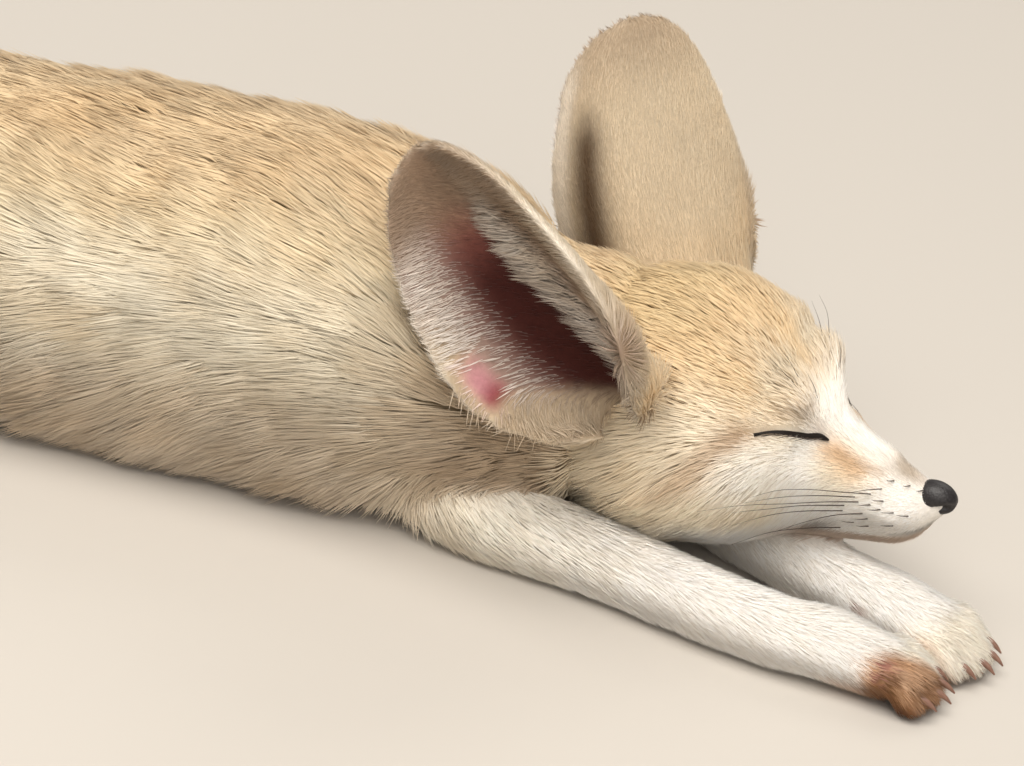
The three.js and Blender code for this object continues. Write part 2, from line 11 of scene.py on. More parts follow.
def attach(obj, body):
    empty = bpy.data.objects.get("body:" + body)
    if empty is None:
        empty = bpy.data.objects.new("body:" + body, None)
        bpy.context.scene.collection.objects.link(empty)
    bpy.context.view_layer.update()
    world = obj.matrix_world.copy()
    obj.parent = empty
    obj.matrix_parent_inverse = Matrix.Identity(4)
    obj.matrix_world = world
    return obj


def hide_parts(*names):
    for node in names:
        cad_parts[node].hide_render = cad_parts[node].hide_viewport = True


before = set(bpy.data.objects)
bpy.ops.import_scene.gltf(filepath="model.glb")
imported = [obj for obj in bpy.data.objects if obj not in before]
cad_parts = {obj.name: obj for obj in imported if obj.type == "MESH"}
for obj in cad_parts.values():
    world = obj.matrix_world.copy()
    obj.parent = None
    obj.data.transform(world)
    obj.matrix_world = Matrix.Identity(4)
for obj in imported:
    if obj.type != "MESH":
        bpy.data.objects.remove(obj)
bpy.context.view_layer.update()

# Camera
# It stands to the right of the animal, above its head, and looks down along the muzzle side.
# Lengths here and below are millimetres in the layout frame: X forward, Y to the animal's left, Z up, with
# the origin on the floor under the toes of the right forepaw. MIDDLE is the part's own origin in that frame.
MIDDLE = np.array((-183.2157, 54.5419, 0.0))
PHOTO_WIDTH = 1024
SENSOR = 36.0
FOCAL_PIXELS = 7900.0
CAMERA_DISTANCE = 2000.0
CAMERA_ELEVATION = math.radians(28)
CAMERA_ROLL = math.radians(12)
LOOK_AT = np.array((-113.4, 28.6, 53.9))


def metres(points):
    return (np.asarray(points, float) - MIDDLE) * 0.001


ahead = np.array((0.0, math.cos(CAMERA_ELEVATION), -math.sin(CAMERA_ELEVATION)))
level_right = np.array((1.0, 0.0, 0.0))
level_up = np.cross(level_right, ahead)
cam_right = level_right * math.cos(CAMERA_ROLL) + level_up * math.sin(CAMERA_ROLL)
cam_up = np.cross(cam_right, ahead)
camera_data = bpy.data.cameras.new("camera")
camera_data.sensor_width = SENSOR
camera_data.lens = FOCAL_PIXELS * SENSOR / PHOTO_WIDTH
camera_data.clip_start = 0.05
camera_data.clip_end = 50
camera = bpy.data.objects.new("camera", camera_data)
camera_place = np.eye(4)
camera_place[:3, 0] = cam_right
camera_place[:3, 1] = cam_up
camera_place[:3, 2] = -ahead
camera_place[:3, 3] = metres(LOOK_AT - ahead * CAMERA_DISTANCE)
camera.matrix_world = Matrix(camera_place.tolist())
bpy.context.scene.collection.objects.link(camera)
bpy.context.scene.camera = camera

# Skin
# One hide covers trunk, neck, head, ears, limbs, toes and tail. Each form is a tube through stations, pressed
# from a round primitive. All are joined, remeshed as one closed surface and smoothed where they run together.
# It lies inside the solids by the depth of the coat that stands on it.
VOXEL = 1.5
CAP_ROWS = 5
CAP_DRAWN_IN = -2
SKIN_FLOOR = 0.9


def linear(code):
    """An sRGB hex colour as linear red, green and blue."""
    shares = [int(code[i : i + 2], 16) / 255 for i in (1, 3, 5)]
    return np.array([c / 12.92 if c <= 0.04045 else ((c + 0.055) / 1.055) ** 2.4 for c in shares])


SAME_PLACE = 1e-4


def along_curve(points, t):
    """Points at t from 0 to 1 on a centripetal Catmull-Rom curve, as the CAD has it."""
    points = np.asarray(points, float)
    last = len(points) - 1
    place = np.clip(t, 0, 1) * last
    i = np.minimum(place.astype(int), last - 1)
    w = (place - i)[:, None]
    more = np.vstack([2 * points[0] - points[1], points, 2 * points[-1] - points[-2]])
    p0, p1, p2, p3 = more[i], more[i + 1], more[i + 2], more[i + 3]
    d1 = np.sum((p2 - p1) ** 2, axis=1)[:, None] ** 0.25
    d1 = np.where(d1 < SAME_PLACE, 1, d1)
    d0 = np.sum((p1 - p0) ** 2, axis=1)[:, None] ** 0.25
    d0 = np.where(d0 < SAME_PLACE, d1, d0)
    d2 = np.sum((p3 - p2) ** 2, axis=1)[:, None] ** 0.25
    d2 = np.where(d2 < SAME_PLACE, d1, d2)
    m1 = ((p1 - p0) / d0 - (p2 - p0) / (d0 + d1) + (p2 - p1) / d1) * d1
    m2 = ((p2 - p1) / d1 - (p3 - p1) / (d1 + d2) + (p3 - p2) / d2) * d1
    return p1 + m1 * w + (3 * (p2 - p1) - 2 * m1 - m2) * w**2 + (2 * (p1 - p2) + m1 + m2) * w**3


def unit(vectors):
    return vectors / np.maximum(np.linalg.norm(vectors, axis=1)[:, None], 1e-9)


def ramp(at, pairs):
    """Values read off a line through [place, value] pairs."""
    return np.interp(at, [p for p, _ in pairs], [v for _, v in pairs])


class Form:
    """A round-ended tube through stations (x, y, z, half-width, half-height up, half-height down)."""

    def __init__(self, name, stations, caps=(6, 6), square=2.0, depth=0.0, placed=None, shape=None):
        stations = np.asarray(stations, float)
        self.name = name
        self.centres = stations[:, :3]
        self.sizes = stations[:, 3:]
        self.caps = caps
        self.square = square
        self.depth = depth
        self.placed = placed
        self.shape = shape

    def surface(self, t, angle, grow=0.0, slide=0.0, shrink=1.0):
        t = np.asarray(t, float)
        step = 0.01
        way = unit(along_curve(self.centres, t + step) - along_curve(self.centres, t - step))
        side = unit(np.cross(np.array((0.0, 0.0, 1.0)), way))
        up = unit(np.cross(way, side))
        size = along_curve(self.sizes, t)
        c, s = np.cos(angle), np.sin(angle)
        power = 2 / self.square
        across = np.sign(c) * np.abs(c) ** power * (size[:, 0] + grow) * shrink
        high = np.sign(s) * np.abs(s) ** power * (np.where(s > 0, size[:, 1], size[:, 2]) + grow) * shrink
        p = along_curve(self.centres, t) + side * across[:, None] + up * high[:, None]
        p = p + way * (np.zeros(len(t)) + slide)[:, None]
        if self.shape is not None:
            p = self.shape(p, shrink)
        if self.placed is not None:
            return p @ self.placed[:3, :3].T + self.placed[:3, 3]
        p[:, 2] = np.maximum(p[:, 2], SKIN_FLOOR)
        return p

    def inset(self, t):
        return -self.depth(t) if callable(self.depth) else np.zeros(len(t)) - self.depth


class EarForm(Form):
    """A cupped sheet that is a near-closed tube at its root and opens towards a round tip."""

    LENGTH = 87.0
    SWEEP = 2.0
    ARCH = -5.0
    ARC = [
        (0, 24), (0.12, 33), (0.3, 37.5), (0.5, 34), (0.7, 28), (0.85, 21.5), (0.95, 13.5), (0.985, 8),
        (1, 2),
    ]
    CURL = [(0, 150), (0.15, 118), (0.32, 88), (0.5, 70), (0.7, 58), (1, 42)]
    WALL = [(0, 4.6), (0.3, 3.8), (0.8, 3.1), (1, 3.0)]
    MARGIN_POWER = 0.75
    WALL_POWER = 0.5

    def __init__(self, name, root, axis, facing):
        turned = HEAD_PLACE[:3, :3]
        self.name = name
        self.root = turned @ root + HEAD_PLACE[:3, 3]
        self.axis = turned @ (np.array(axis) / np.linalg.norm(axis))
        facing = turned @ np.array(facing)
        facing = facing - self.axis * (facing @ self.axis)
        self.facing = facing / np.linalg.norm(facing)
        self.side = np.cross(self.facing, self.axis)
        if self.side[0] > 0:
            self.side = -self.side
        self.caps = (0, 0)
        self.depth = 0.0

    def surface(self, t, angle, grow=0.0, slide=0.0, shrink=1.0):
        t = np.asarray(t, float)
        curl = np.radians(smooth_ramp(t, self.CURL))
        radius = smooth_ramp(t, self.ARC) / curl
        c, s = np.cos(angle), np.sin(angle)
        v = np.sign(c) * np.abs(c) ** self.MARGIN_POWER * shrink
        s = np.sign(s) * np.abs(s) ** self.WALL_POWER
        out = radius + s * (ramp(t, self.WALL) / 2 + grow) * shrink
        towards = radius - out * np.cos(v * curl) + self.ARCH * t**2
        aside = out * np.sin(v * curl) + self.SWEEP * np.sin(t * np.pi)
        along = np.outer(t * self.LENGTH, self.axis)
        return self.root + along + np.outer(towards, self.facing) + np.outer(aside, self.side)


def smooth_ramp(at, pairs):
    curve = along_curve(np.array(pairs, float), np.linspace(0, 1, 200))
    return np.interp(at, curve[:, 0], curve[:, 1])


# The head's own frame: origin at the tip of the nose, X forward, Y left, Z towards the crown.
def turned_frame(at, yaw, pitch, roll):
    y, p, r = (math.radians(a) for a in (yaw, -pitch, roll))
    about_z = np.array([[math.cos(y), -math.sin(y), 0], [math.sin(y), math.cos(y), 0], [0, 0, 1]])
    about_y = np.array([[math.cos(p), 0, math.sin(p)], [0, 1, 0], [-math.sin(p), 0, math.cos(p)]])
    about_x = np.array([[1, 0, 0], [0, math.cos(r), -math.sin(r)], [0, math.sin(r), math.cos(r)]])
    placed = np.eye(4)
    placed[:3, :3] = about_z @ about_y @ about_x
    placed[:3, 3] = at
    return placed


HEAD_PLACE = turned_frame((3.8, 39.0, 41.8), yaw=-16, pitch=2, roll=4)
HEAD_BACK = np.linalg.inv(HEAD_PLACE)


def in_head(points):
    return points @ HEAD_BACK[:3, :3].T + HEAD_BACK[:3, 3]


def from_head(points):
    return np.asarray(points, float) @ HEAD_PLACE[:3, :3].T + HEAD_PLACE[:3, 3]


# Bumps and hollows of the face, alike on both sides: place, reach and height.
FACE_BUMPS = [
    ((-40, 12, 21), (8.5, 7.5, 7), 4.4), ((-40, 15, 11), (9, 6, 5.5), -2.2),
    ((-43, 17.5, 13.5), (8, 5, 5), 1.6), ((-56, 27, 2), (12.5, 9, 9), 2.0),
    ((-14, 7, -6), (8, 5.5, 5), 1.4), ((-33, 3.5, 13), (7, 7, 5.5), -1.6),
]
BUMP_FALL = 1.6
MOUTH_LINE = [(-33, -10.8), (-25, -13), (-20, -13.4), (-15, -12.6), (-9, -10.4), (-4.8, -7.4)]
LIP_REACH = 1.5
LIP_DEPTH = 1.1


def both_sides(p):
    """The same places, all on the left half of the head."""
    return np.column_stack([p[:, 0], np.abs(p[:, 1]), p[:, 2]])


def face_shape(p, shrink):
    mirrored = both_sides(p)
    out = unit(np.column_stack([np.zeros(len(p)), p[:, 1], p[:, 2] + 2]))
    for at, reach, push in FACE_BUMPS:
        d = np.linalg.norm((mirrored - at) / reach, axis=1)
        p = p + out * (push * np.exp(-d * d * BUMP_FALL) * shrink)[:, None]
    off_line = (mirrored[:, 2] - ramp(p[:, 0], MOUTH_LINE)) / LIP_REACH
    on_lips = (p[:, 0] > -35) & (p[:, 0] < -3)
    groove = np.where(on_lips, np.exp(-(off_line**2)), 0)
    return p - out * (LIP_DEPTH * groove * shrink)[:, None]


def head_stations():
    rows = [
        (-4.5, -2.5, 4.5, 2.8, -7.2), (-9, -4, 6.8, 5.2, -12.8), (-15, -5.5, 8.6, 7.6, -17.8),
        (-22, -5.5, 10.2, 9.8, -19.8), (-29, -5, 13.2, 12.4, -20.8), (-36, -4, 18, 17, -22),
        (-44, -3, 26.5, 25, -24.5), (-54, -2, 33.5, 33.5, -28.5), (-64, 0, 38, 39, -31.5),
        (-75, 2, 39, 41.5, -33), (-85, 3, 36, 39.5, -31), (-93, 3, 30, 34, -27),
    ]
    return [(x, 0, middle, w, top - middle, middle - bottom) for x, middle, w, top, bottom in rows]


def head_depth(t):
    return ramp(t, [(0, 0.7), (0.35, 1.2), (0.5, 2.0), (0.7, 3.6), (1, 4.5)])


torso = Form("torso", [
    (-92, 52, 33, 22, 24, 32), (-112, 56, 40, 34, 38, 43), (-136, 62, 45, 42, 46, 53),
    (-164, 67, 47, 45, 47, 57), (-196, 71, 47, 46.5, 45, 58), (-228, 74, 46, 47, 43, 57),
    (-260, 76, 45, 47, 40.5, 55), (-290, 77.5, 42, 43, 39, 51), (-314, 78, 39, 35, 34, 45),
    (-327, 78, 37, 24, 24, 36),
], caps=(9, 10), square=2.25, depth=5.5)
neck = Form("neck", [
    (-140, 62, 52, 33, 34, 40), (-122, 65, 50, 32, 31, 39), (-105, 65, 48, 31, 30, 36),
    (-90, 65, 47, 30, 30, 34), (-78, 64, 47, 26, 28, 31),
], caps=(4, 8), square=2.1, depth=5.5)
head = Form("head", head_stations(), caps=(3, 6), square=2.05, depth=head_depth, placed=HEAD_PLACE,
            shape=face_shape)
ears = {
    "right": EarForm("ear_right", (-80, -30, 22), (-0.69, -0.27, 0.68), (0.2, -0.95, -0.2)),
    "left": EarForm("ear_left", (-77, 27, 9), (-0.5, 0.16, 0.85), (-0.7, 0.75, -0.2)),
}
LEG_POINTS = {
    "right": ((-134, 48, 26), (-119, 39, 14), (-37, 11, 10), (-6, 7.5, 8)),
    "left": ((-112, 92, 24), (-89, 91, 14), (-19, 40, 11), (6, 31, 8.4)),
}


FOREARM_HIGH, PALM_HIGH = 11, 10


def foreleg(name, shoulder, elbow, wrist, knuckles):
    elbow, wrist, knuckles = (np.array(p, float) for p in (elbow, wrist, knuckles))
    mid = elbow + (wrist - elbow) * 0.45
    mid[2] = FOREARM_HIGH
    palm = (wrist + knuckles) / 2
    palm[2] = PALM_HIGH
    return Form(name, [
        (*shoulder, 15, 16, 20), (*elbow, 11.5, 12.5, 14), (*mid, 9.8, 10.6, 11), (*wrist, 9.8, 10, 10.5),
        (*palm, 11, 9.6, 10), (*knuckles, 11.4, 8, 8.8),
    ], caps=(6, 5), square=2.2, depth=1.6)


MIDLINE_REAR = 77.5


def thigh(name, sign):
    y = MIDLINE_REAR
    return Form(name, [
        (-318, y + sign * 20, 46, 16, 22, 24), (-303, y + sign * 29, 44, 19, 29, 31),
        (-284, y + sign * 34, 39, 19.5, 30, 36), (-266, y + sign * 36, 32, 16.5, 25, 30),
        (-252, y + sign * 37, 25, 12, 17, 22),
    ], caps=(8, 7), depth=5.5)


def hind_foot(name, sign):
    y = MIDLINE_REAR
    return Form(name, [
        (-322, y + sign * 42, 14, 8, 11, 13), (-306, y + sign * 46, 10.5, 8.8, 9.4, 10.5),
        (-288, y + sign * 48, 9, 9, 8, 9), (-272, y + sign * 49, 8.6, 10, 7.6, 8.6),
    ], caps=(7, 5), square=2.2, depth=1.6)


tail = Form("tail", [
    (-324, 77.5, 42, 11.5, 11.5, 12.5), (-343, 75, 33.5, 15.5, 15.5, 16), (-361, 64, 25, 18, 18, 22),
    (-371, 46, 20.5, 20, 20, 25), (-370, 24, 20, 20.5, 20, 26), (-358, 5, 20, 21, 20, 26),
    (-337, -7, 19.5, 20.5, 20, 25.5), (-313, -11, 17.5, 18.5, 18, 23), (-292, -10, 14, 14, 13.5, 18),
    (-279, -8, 10, 8, 8, 12),
], caps=(4, 6), depth=6.5)


def toes(name, knuckles, wrist, spread, length, size=4.4, count=4):
    """Toes from the knuckles to the floor, and where each claw starts and points."""
    knuckles, wrist = np.array(knuckles, float), np.array(wrist, float)
    way = (knuckles - wrist) * (1, 1, 0)
    way = way / np.linalg.norm(way)
    side = np.array((-way[1], way[0], 0))
    made, claws = [], []
    for i in range(count):
        across = (i - (count - 1) / 2) / ((count - 1) / 2)
        reach = length * (1 - 0.2 * across * across)

        def at(forward, apart, z):
            p = knuckles + way * forward + side * across * spread * apart
            return (p[0], p[1], z)

        made.append(Form(f"{name}_toe_{i + 1}", [
            (*at(-4, 0.8, knuckles[2] + 0.5), size * 0.95, size, size),
            (*at(reach * 0.5 - 4, 0.92, knuckles[2] + 0.8), size, size * 1.05, size),
            (*at(reach - 4, 1, size), size, size, size + 0.3),
        ], caps=(2, 3.6), depth=0.6))
        claws.append((np.array(at(reach - 4, 1, size)), way, side))
    return made, claws


legs, feet, thighs, paw_toes, claw_seats = {}, {}, {}, [], {}
for side_name, sign in (("right", -1), ("left", 1)):
    legs[side_name] = foreleg(f"foreleg_{side_name}", *LEG_POINTS[side_name])
    forepaw, claw_seats[f"forepaw_{side_name}"] = toes(
        f"forepaw_{side_name}", LEG_POINTS[side_name][3], LEG_POINTS[side_name][2], spread=8.6, length=16
    )
    thighs[side_name] = thigh(f"thigh_{side_name}", sign)
    feet[side_name] = hind_foot(f"hind_foot_{side_name}", sign)
    ends = along_curve(feet[side_name].centres, np.array((1.0, 0.4)))
    hindpaw, claw_seats[f"hindpaw_{side_name}"] = toes(
        f"hindpaw_{side_name}", ends[0], ends[1], spread=7.6, length=14, size=4
    )
    paw_toes += forepaw + hindpaw


def deselect():
    bpy.ops.object.select_all(action="DESELECT")


def pick(piece):
    """Selects one piece alone and makes it active."""
    deselect()
    piece.select_set(True)
    bpy.context.view_layer.objects.active = piece


def read_out(source, key, width=3, kind=float):
    """One value of every vertex, corner or triangle of a mesh, as rows."""
    values = np.empty(len(source) * width, dtype=kind)
    source.foreach_get(key, values)
    return values.reshape(-1, width)


def coordinates(piece):
    return read_out(piece.data.vertices, "co")


def pressed(form, segments, rings):
    """A ball added as a primitive and pressed into a form: its rows become the rings of the tube."""
    deselect()
    rows = rings + 2 * CAP_ROWS
    bpy.ops.mesh.primitive_uv_sphere_add(segments=segments, ring_count=rows, radius=1)
    piece = bpy.context.object
    piece.name = form.name
    co = coordinates(piece)
    row = np.arccos(np.clip(co[:, 2], -1, 1)) / np.pi * rows
    angle = np.arctan2(co[:, 1], co[:, 0])
    before, after = CAP_ROWS - row, row - (rows - CAP_ROWS)
    turn = np.maximum(np.maximum(before, after), 0) / CAP_ROWS * np.pi / 2
    t = np.clip((row - CAP_ROWS) / rings, 0, 1)
    grow = form.inset(t)
    cap = np.where(before > 0, form.caps[0], form.caps[1])
    slide = np.sign(after) * np.sin(turn) * np.maximum(cap + np.maximum(grow, CAP_DRAWN_IN), 0)
    p = form.surface(t, angle, grow, np.where(turn > 0, slide, 0), np.cos(turn))
    piece.data.vertices.foreach_set("co", metres(p).ravel())
    bpy.ops.object.mode_set(mode="EDIT")
    bpy.ops.mesh.select_all(action="SELECT")
    bpy.ops.mesh.normals_make_consistent(inside=False)
    bpy.ops.object.mode_set(mode="OBJECT")
    return piece


def join(pieces, name):
    deselect()
    for piece in pieces:
        piece.select_set(True)
    bpy.context.view_layer.objects.active = pieces[0]
    bpy.ops.object.join()
    whole = bpy.context.object
    whole.name = name
    whole.data.name = name
    return whole


def apply_modifiers(piece):
    pick(piece)
    for modifier in list(piece.modifiers):
        bpy.ops.object.modifier_apply(modifier=modifier.name)


body_forms = [torso, neck, tail, *thighs.values()]
limb_forms = [*legs.values(), *feet.values()]
raw = [pressed(form, 48, 60) for form in body_forms + limb_forms]
raw.append(pressed(head, 72, 90))
raw += [pressed(form, 60, 70) for form in ears.values()]
raw += [pressed(form, 20, 14) for form in paw_toes]
skin = join(raw, "skin")
remesh = skin.modifiers.new("one_skin", "REMESH")
remesh.mode = "VOXEL"
remesh.voxel_size = VOXEL * 0.001
remesh.use_smooth_shade = True
apply_modifiers(skin)

# The face, the front of the paws and the ears keep their edges, so only the rest is smoothed long.
FACE_MIDDLE, FACE_REACH = (-45, 0, 5), (42, 60, 50)
PAWS_FROM = -60
EARS_ABOVE = 100
points = coordinates(skin) * 1000 + MIDDLE
soft = skin.vertex_groups.new(name="runs_together")
on_body = np.linalg.norm((in_head(points) - FACE_MIDDLE) / FACE_REACH, axis=1) > 1
on_body &= points[:, 0] < PAWS_FROM
on_body &= points[:, 2] < EARS_ABOVE
soft.add(np.nonzero(on_body)[0].tolist(), 1.0, "REPLACE")
fine = skin.modifiers.new("fine", "SMOOTH")
fine.factor = 0.5
fine.iterations = 3
blend = skin.modifiers.new("blend", "SMOOTH")
blend.factor = 0.6
blend.iterations = 14
blend.vertex_group = "runs_together"
apply_modifiers(skin)

# Lie and colour of the coat
# Fawn on the back, cream on the flanks, white on legs, muzzle and belly, as the species has it. Each form
# says how its hair lies, how long it is and what colour it has. Skin and coat read the same fields.
COLOURS = {
    name: linear(code)
    for name, code in {
        "back": "#D2B995", "fawn": "#D5C4A4", "flank": "#DED5C1", "cream": "#F3EAD8", "white": "#FAF7F3",
        "gold": "#E0C7A0", "crown": "#D1BB92", "cheek": "#EEE1C9", "tan_streak_and_fold_shade": "#AC8252", "orange": "#DDB482",
        "shaded_chin": "#AE937D", "shadow_tan": "#957048",
        "bridge_grey": "#A08B70", "brow_grey": "#DCD2BF", "ear_back": "#CFC0A8", "ear_tan": "#7F6449",
        "ear_grey": "#A08A74", "ear_mauve": "#8C6C66", "ear_pale": "#DAD0C6", "ear_hair": "#F1ECE4",
        "ear_cream": "#DECBA8", "ear_skin": "#86483F", "ear_cup_shade": "#3E1611", "ear_groove_shadow": "#4C3620",
        "pocket": "#CF95A0", "pocket_deep": "#8A2C34", "toe": "#BC8A5C", "sole": "#61381B",
        "pad": "#96675E", "crease_shadow": "#5A3820",
        "brown": "#8C6A48", "dark": "#261B16",
        "tail": "#D2B48A", "tail_dark": "#5E452F", "tail_tip": "#241D19",
    }.items()
}


def smooth_step(x, low, high):
    share = np.clip((x - low) / (high - low), 0, 1)
    return share * share * (3 - 2 * share)


def fading(x, low, high):
    return 1 - smooth_step(x, low, high)


def bell(x, middle, reach):
    return np.exp(-(((x - middle) / reach) ** 2))


def mix(base, other, share):
    share = np.clip(np.asarray(share, float), 0, 1)
    base = np.broadcast_to(base, (len(share), 3))
    return base + (other - base) * share[:, None]


def layered(c, layers):
    """Lays named colours over a first one, each by its share."""
    for name, share in layers:
        c = mix(c, COLOURS[name], share)
    return c


BLOB_EDGE = 2.4


def blob(p, at, reach):
    """A soft patch round a place, on both sides of the face."""
    return np.exp(-(np.linalg.norm((both_sides(p) - at) / reach, axis=1) ** BLOB_EDGE))


def line_share(p, line_points, reach):
    """How near each point comes to a line through points, from 1 on it to 0 beyond reach."""
    mirrored = both_sides(p)
    best = np.full(len(p), np.inf)
    for at in along_curve(line_points, np.linspace(0, 1, 40)):
        best = np.minimum(best, np.sum((mirrored - at) ** 2, axis=1))
    return np.exp(-best / reach**2)


# The closed eye's line, the cheek fold behind it (painted shade) and the lips' line, in the head's frame.
SLIT_POINTS = [
    (-48.6, 25.6, 16.4), (-45.6, 22.4, 16.6), (-42.7, 20.8, 16.7), (-39.5, 18.9, 16.2), (-37, 17, 15.5),
    (-35, 13.6, 14.4), (-33, 10.6, 12.4),
]
CHEEK_FOLD_POINTS = [
    (-50.1, 27.4, 15.8), (-53.7, 31.8, 12.8), (-57.2, 34.9, 7.8), (-61.4, 36.8, 4.3), (-65, 38, 0.7),
]
MOUTH_POINTS = [
    (-33, 14.5, -10.8), (-29.6, 12, -12), (-25, 9.8, -13), (-19.6, 8.4, -13.4), (-15, 7, -12.6),
    (-9, 4.4, -10.4), (-4.8, 1.8, -7.4),
]


def face_colours(at):
    p = in_head(at)
    x, y, z = p[:, 0], np.abs(p[:, 1]), p[:, 2]
    crown = smooth_step(-x, 58, 74) * smooth_step(z, 24, 34) * fading(y, 14, 26)
    temple = smooth_step(y, 19, 30) * smooth_step(z, 14, 24) * smooth_step(x, -74, -52)
    lip_x, _, lip_z = np.array(MOUTH_POINTS).T
    under_lip = smooth_step(np.interp(x, lip_x, lip_z) - z, 0.2, 1.6) * smooth_step(x, -46, -32)
    return layered(COLOURS["cheek"], [
        ("gold", smooth_step(z, 14, 26)),
        ("crown", crown * 0.7),
        ("brow_grey", blob(p, (-46, 9, 25), (11, 9, 9)) * 0.8),
        ("cream", temple * 0.5),
        ("white", smooth_step(x, -44, -35)),
        ("white", blob(p, (-46, 22, 7), (15, 12, 9)) * 0.8),
        ("white", smooth_step(-z, 4, 14) * smooth_step(x, -74, -46)),
        # Painted shade: two brown spots in the folds of the lid above the eye.
        ("brown", blob(p, (-46.5, 18.9, 23.4), (3.2, 3, 2)) * 0.25),
        ("brown", blob(p, (-41.8, 17.5, 19.6), (3.6, 3, 1.6)) * 0.25),
        ("bridge_grey", blob(p, (-37, 13.4, 18.4), (5.5, 4, 2.6)) * 0.6),
        # Painted shade of the lid's fold at the inner corner of the eye.
        ("brown", blob(p, (-33.4, 10.6, 14), (3.4, 3, 2.6)) * 0.5),
        ("cheek", blob(p, (-27, 10, 4), (9, 6, 7)) * 0.8),
        ("orange", line_share(p, [(-31.5, 9.6, 9.6), (-27.4, 8.4, 6.8), (-24, 8, 4.4)], 3.4) * 0.6),
        ("tan_streak_and_fold_shade", line_share(p, [(-29, 8.6, 8.6), (-25.6, 7.6, 6.6), (-18, 6, 4.6)], 1.6) * 0.4),
        # Painted shadow of the fold between ruff and cheek, from the eye's outer corner.
        ("tan_streak_and_fold_shade", line_share(p, CHEEK_FOLD_POINTS, 3.2) * 0.9),
        ("tan_streak_and_fold_shade", line_share(p, SLIT_POINTS[:2], 2.4) * 0.5),
        ("bridge_grey", blob(p, (-12, 1, 5), (6.5, 3.6, 2.6)) * 0.75),
        ("brown", blob(p, (-7, 0, 4.6), (3.4, 4, 2.4)) * 0.5),
        # Painted shade: the white chin under the lips is painted grey-brown.
        ("shaded_chin", under_lip * 0.8),
        # The dark line of the lips is painted shade in their groove.
        ("dark", line_share(p, MOUTH_POINTS, 0.9) * 0.75),
        ("dark", blob(p, (-30, 11.8, -12), (4.6, 4, 2.4)) * 0.6),
        ("dark", line_share(p, SLIT_POINTS, 1.3) * 0.9),
    ])


def torso_coat(t, angle, p):
    up = np.sin(angle)
    under_neck = fading(t, 0.06, 0.26) * fading(up, 0.35, 0.8) * 0.6
    c = layered(COLOURS["flank"], [
        ("fawn", smooth_step(up, 0.2, 0.7)),
        ("back", smooth_step(up, 0.55, 0.95) * 0.8),
        ("cream", smooth_step(-up, -0.1, 0.5)),
        ("white", smooth_step(-up, 0.5, 0.9)),
        ("shadow_tan", np.maximum(under_neck, smooth_step(-up, -0.1, 0.35) * 0.4)),
    ])
    raised = fading(t, 0.08, 0.3) * smooth_step(up, 0.0, 0.5)
    flatter = 1 - 0.45 * fading(t, 0.02, 0.16)
    fall = ramp(up, [(-1, 1.2), (-0.5, 0.95), (0, 0.35), (0.45, -0.05), (0.8, -0.25), (1, 0)])
    return {
        "way": 1.0, "droop": fall - 0.9 * raised,
        "long": ramp(up, [(-1, 10), (-0.5, 21), (0, 19), (0.6, 15), (1, 14)]) * flatter,
        "lift": ramp(up, [(-1, 1.5), (-0.6, 4), (0, 4.0), (0.6, 3.5), (1, 4.0)]) * flatter,
        "wide": 0.48, "dense": ramp(up, [(-1, 0.2), (-0.8, 1.0), (-0.5, 2.15), (1, 2.15)]), "colour": c,
    }


def neck_coat(t, angle, p):
    up = np.sin(angle)
    made = torso_coat(0 * t, angle, p)
    made["way"] = -1.0
    made["droop"] = ramp(up, [(-1, 0.8), (0, 0.4), (1, 0)])
    made["colour"] = layered(made["colour"], [
        ("gold", smooth_step(up, -0.5, 0.4) * 0.35), ("shadow_tan", smooth_step(0.8 - up, 0, 0.5) * 0.75),
    ])
    return made


def thigh_coat(t, angle, p):
    c = layered(COLOURS["cream"], [("fawn", smooth_step(np.sin(angle), -0.1, 0.8))])
    return {"way": -1.0, "droop": 0.5, "long": 16, "lift": 4.5, "wide": 0.5, "dense": 2.0, "colour": c}


def leg_coat(t, angle, p):
    paw_side = smooth_step(t, 0.72, 0.9) * smooth_step(6 - p[:, 2], -2, 3)
    return {
        "way": 1.0, "droop": 0.2,
        "long": ramp(t, [(0, 13), (0.25, 8), (0.5, 5), (1, 4)]),
        "lift": ramp(t, [(0, 4), (0.3, 1.6), (0.6, 1.1), (1, 1.1)]),
        "wide": ramp(t, [(0, 0.48), (0.4, 0.38), (1, 0.34)]),
        "dense": ramp(t, [(0, 1.6), (0.35, 3.0), (1, 4.2)]),
        "colour": layered(COLOURS["cream"], [("white", smooth_step(t, 0.1, 0.5)), ("toe", paw_side * 0.7)]),
    }


# The right forepaw is rolled a little, so that its tawny outer side, two pads and the creases between its
# toes show, the creases as painted shade. The left one shows the pad behind its wrist.
CREASES = [
    [(-13.7, -1.3, 3.9), (-9, -4.4, 8), (-6.8, -3, 11)], [(-9, -5, 5), (-5.5, -4.5, 7.5), (-4.2, -3, 11.5)],
    [(-2.3, -4.2, 3.6), (2.2, -2.7, 8.7), (6.3, 6.5, 7.9), (8.3, 14, 6.5)],
]
PADS = [
    ((-7.2, -1.1, 13.5), (3.2, 2.8, 2)), ((-9.3, -3.4, 9.7), (1.5, 2, 2.2)),
    ((-17.2, 28.2, 10.7), (2.6, 2.4, 1.7)),
]


def pad_share(p):
    return np.max([np.exp(-(np.linalg.norm((p - at) / reach, axis=1) ** 6)) for at, reach in PADS], axis=0)


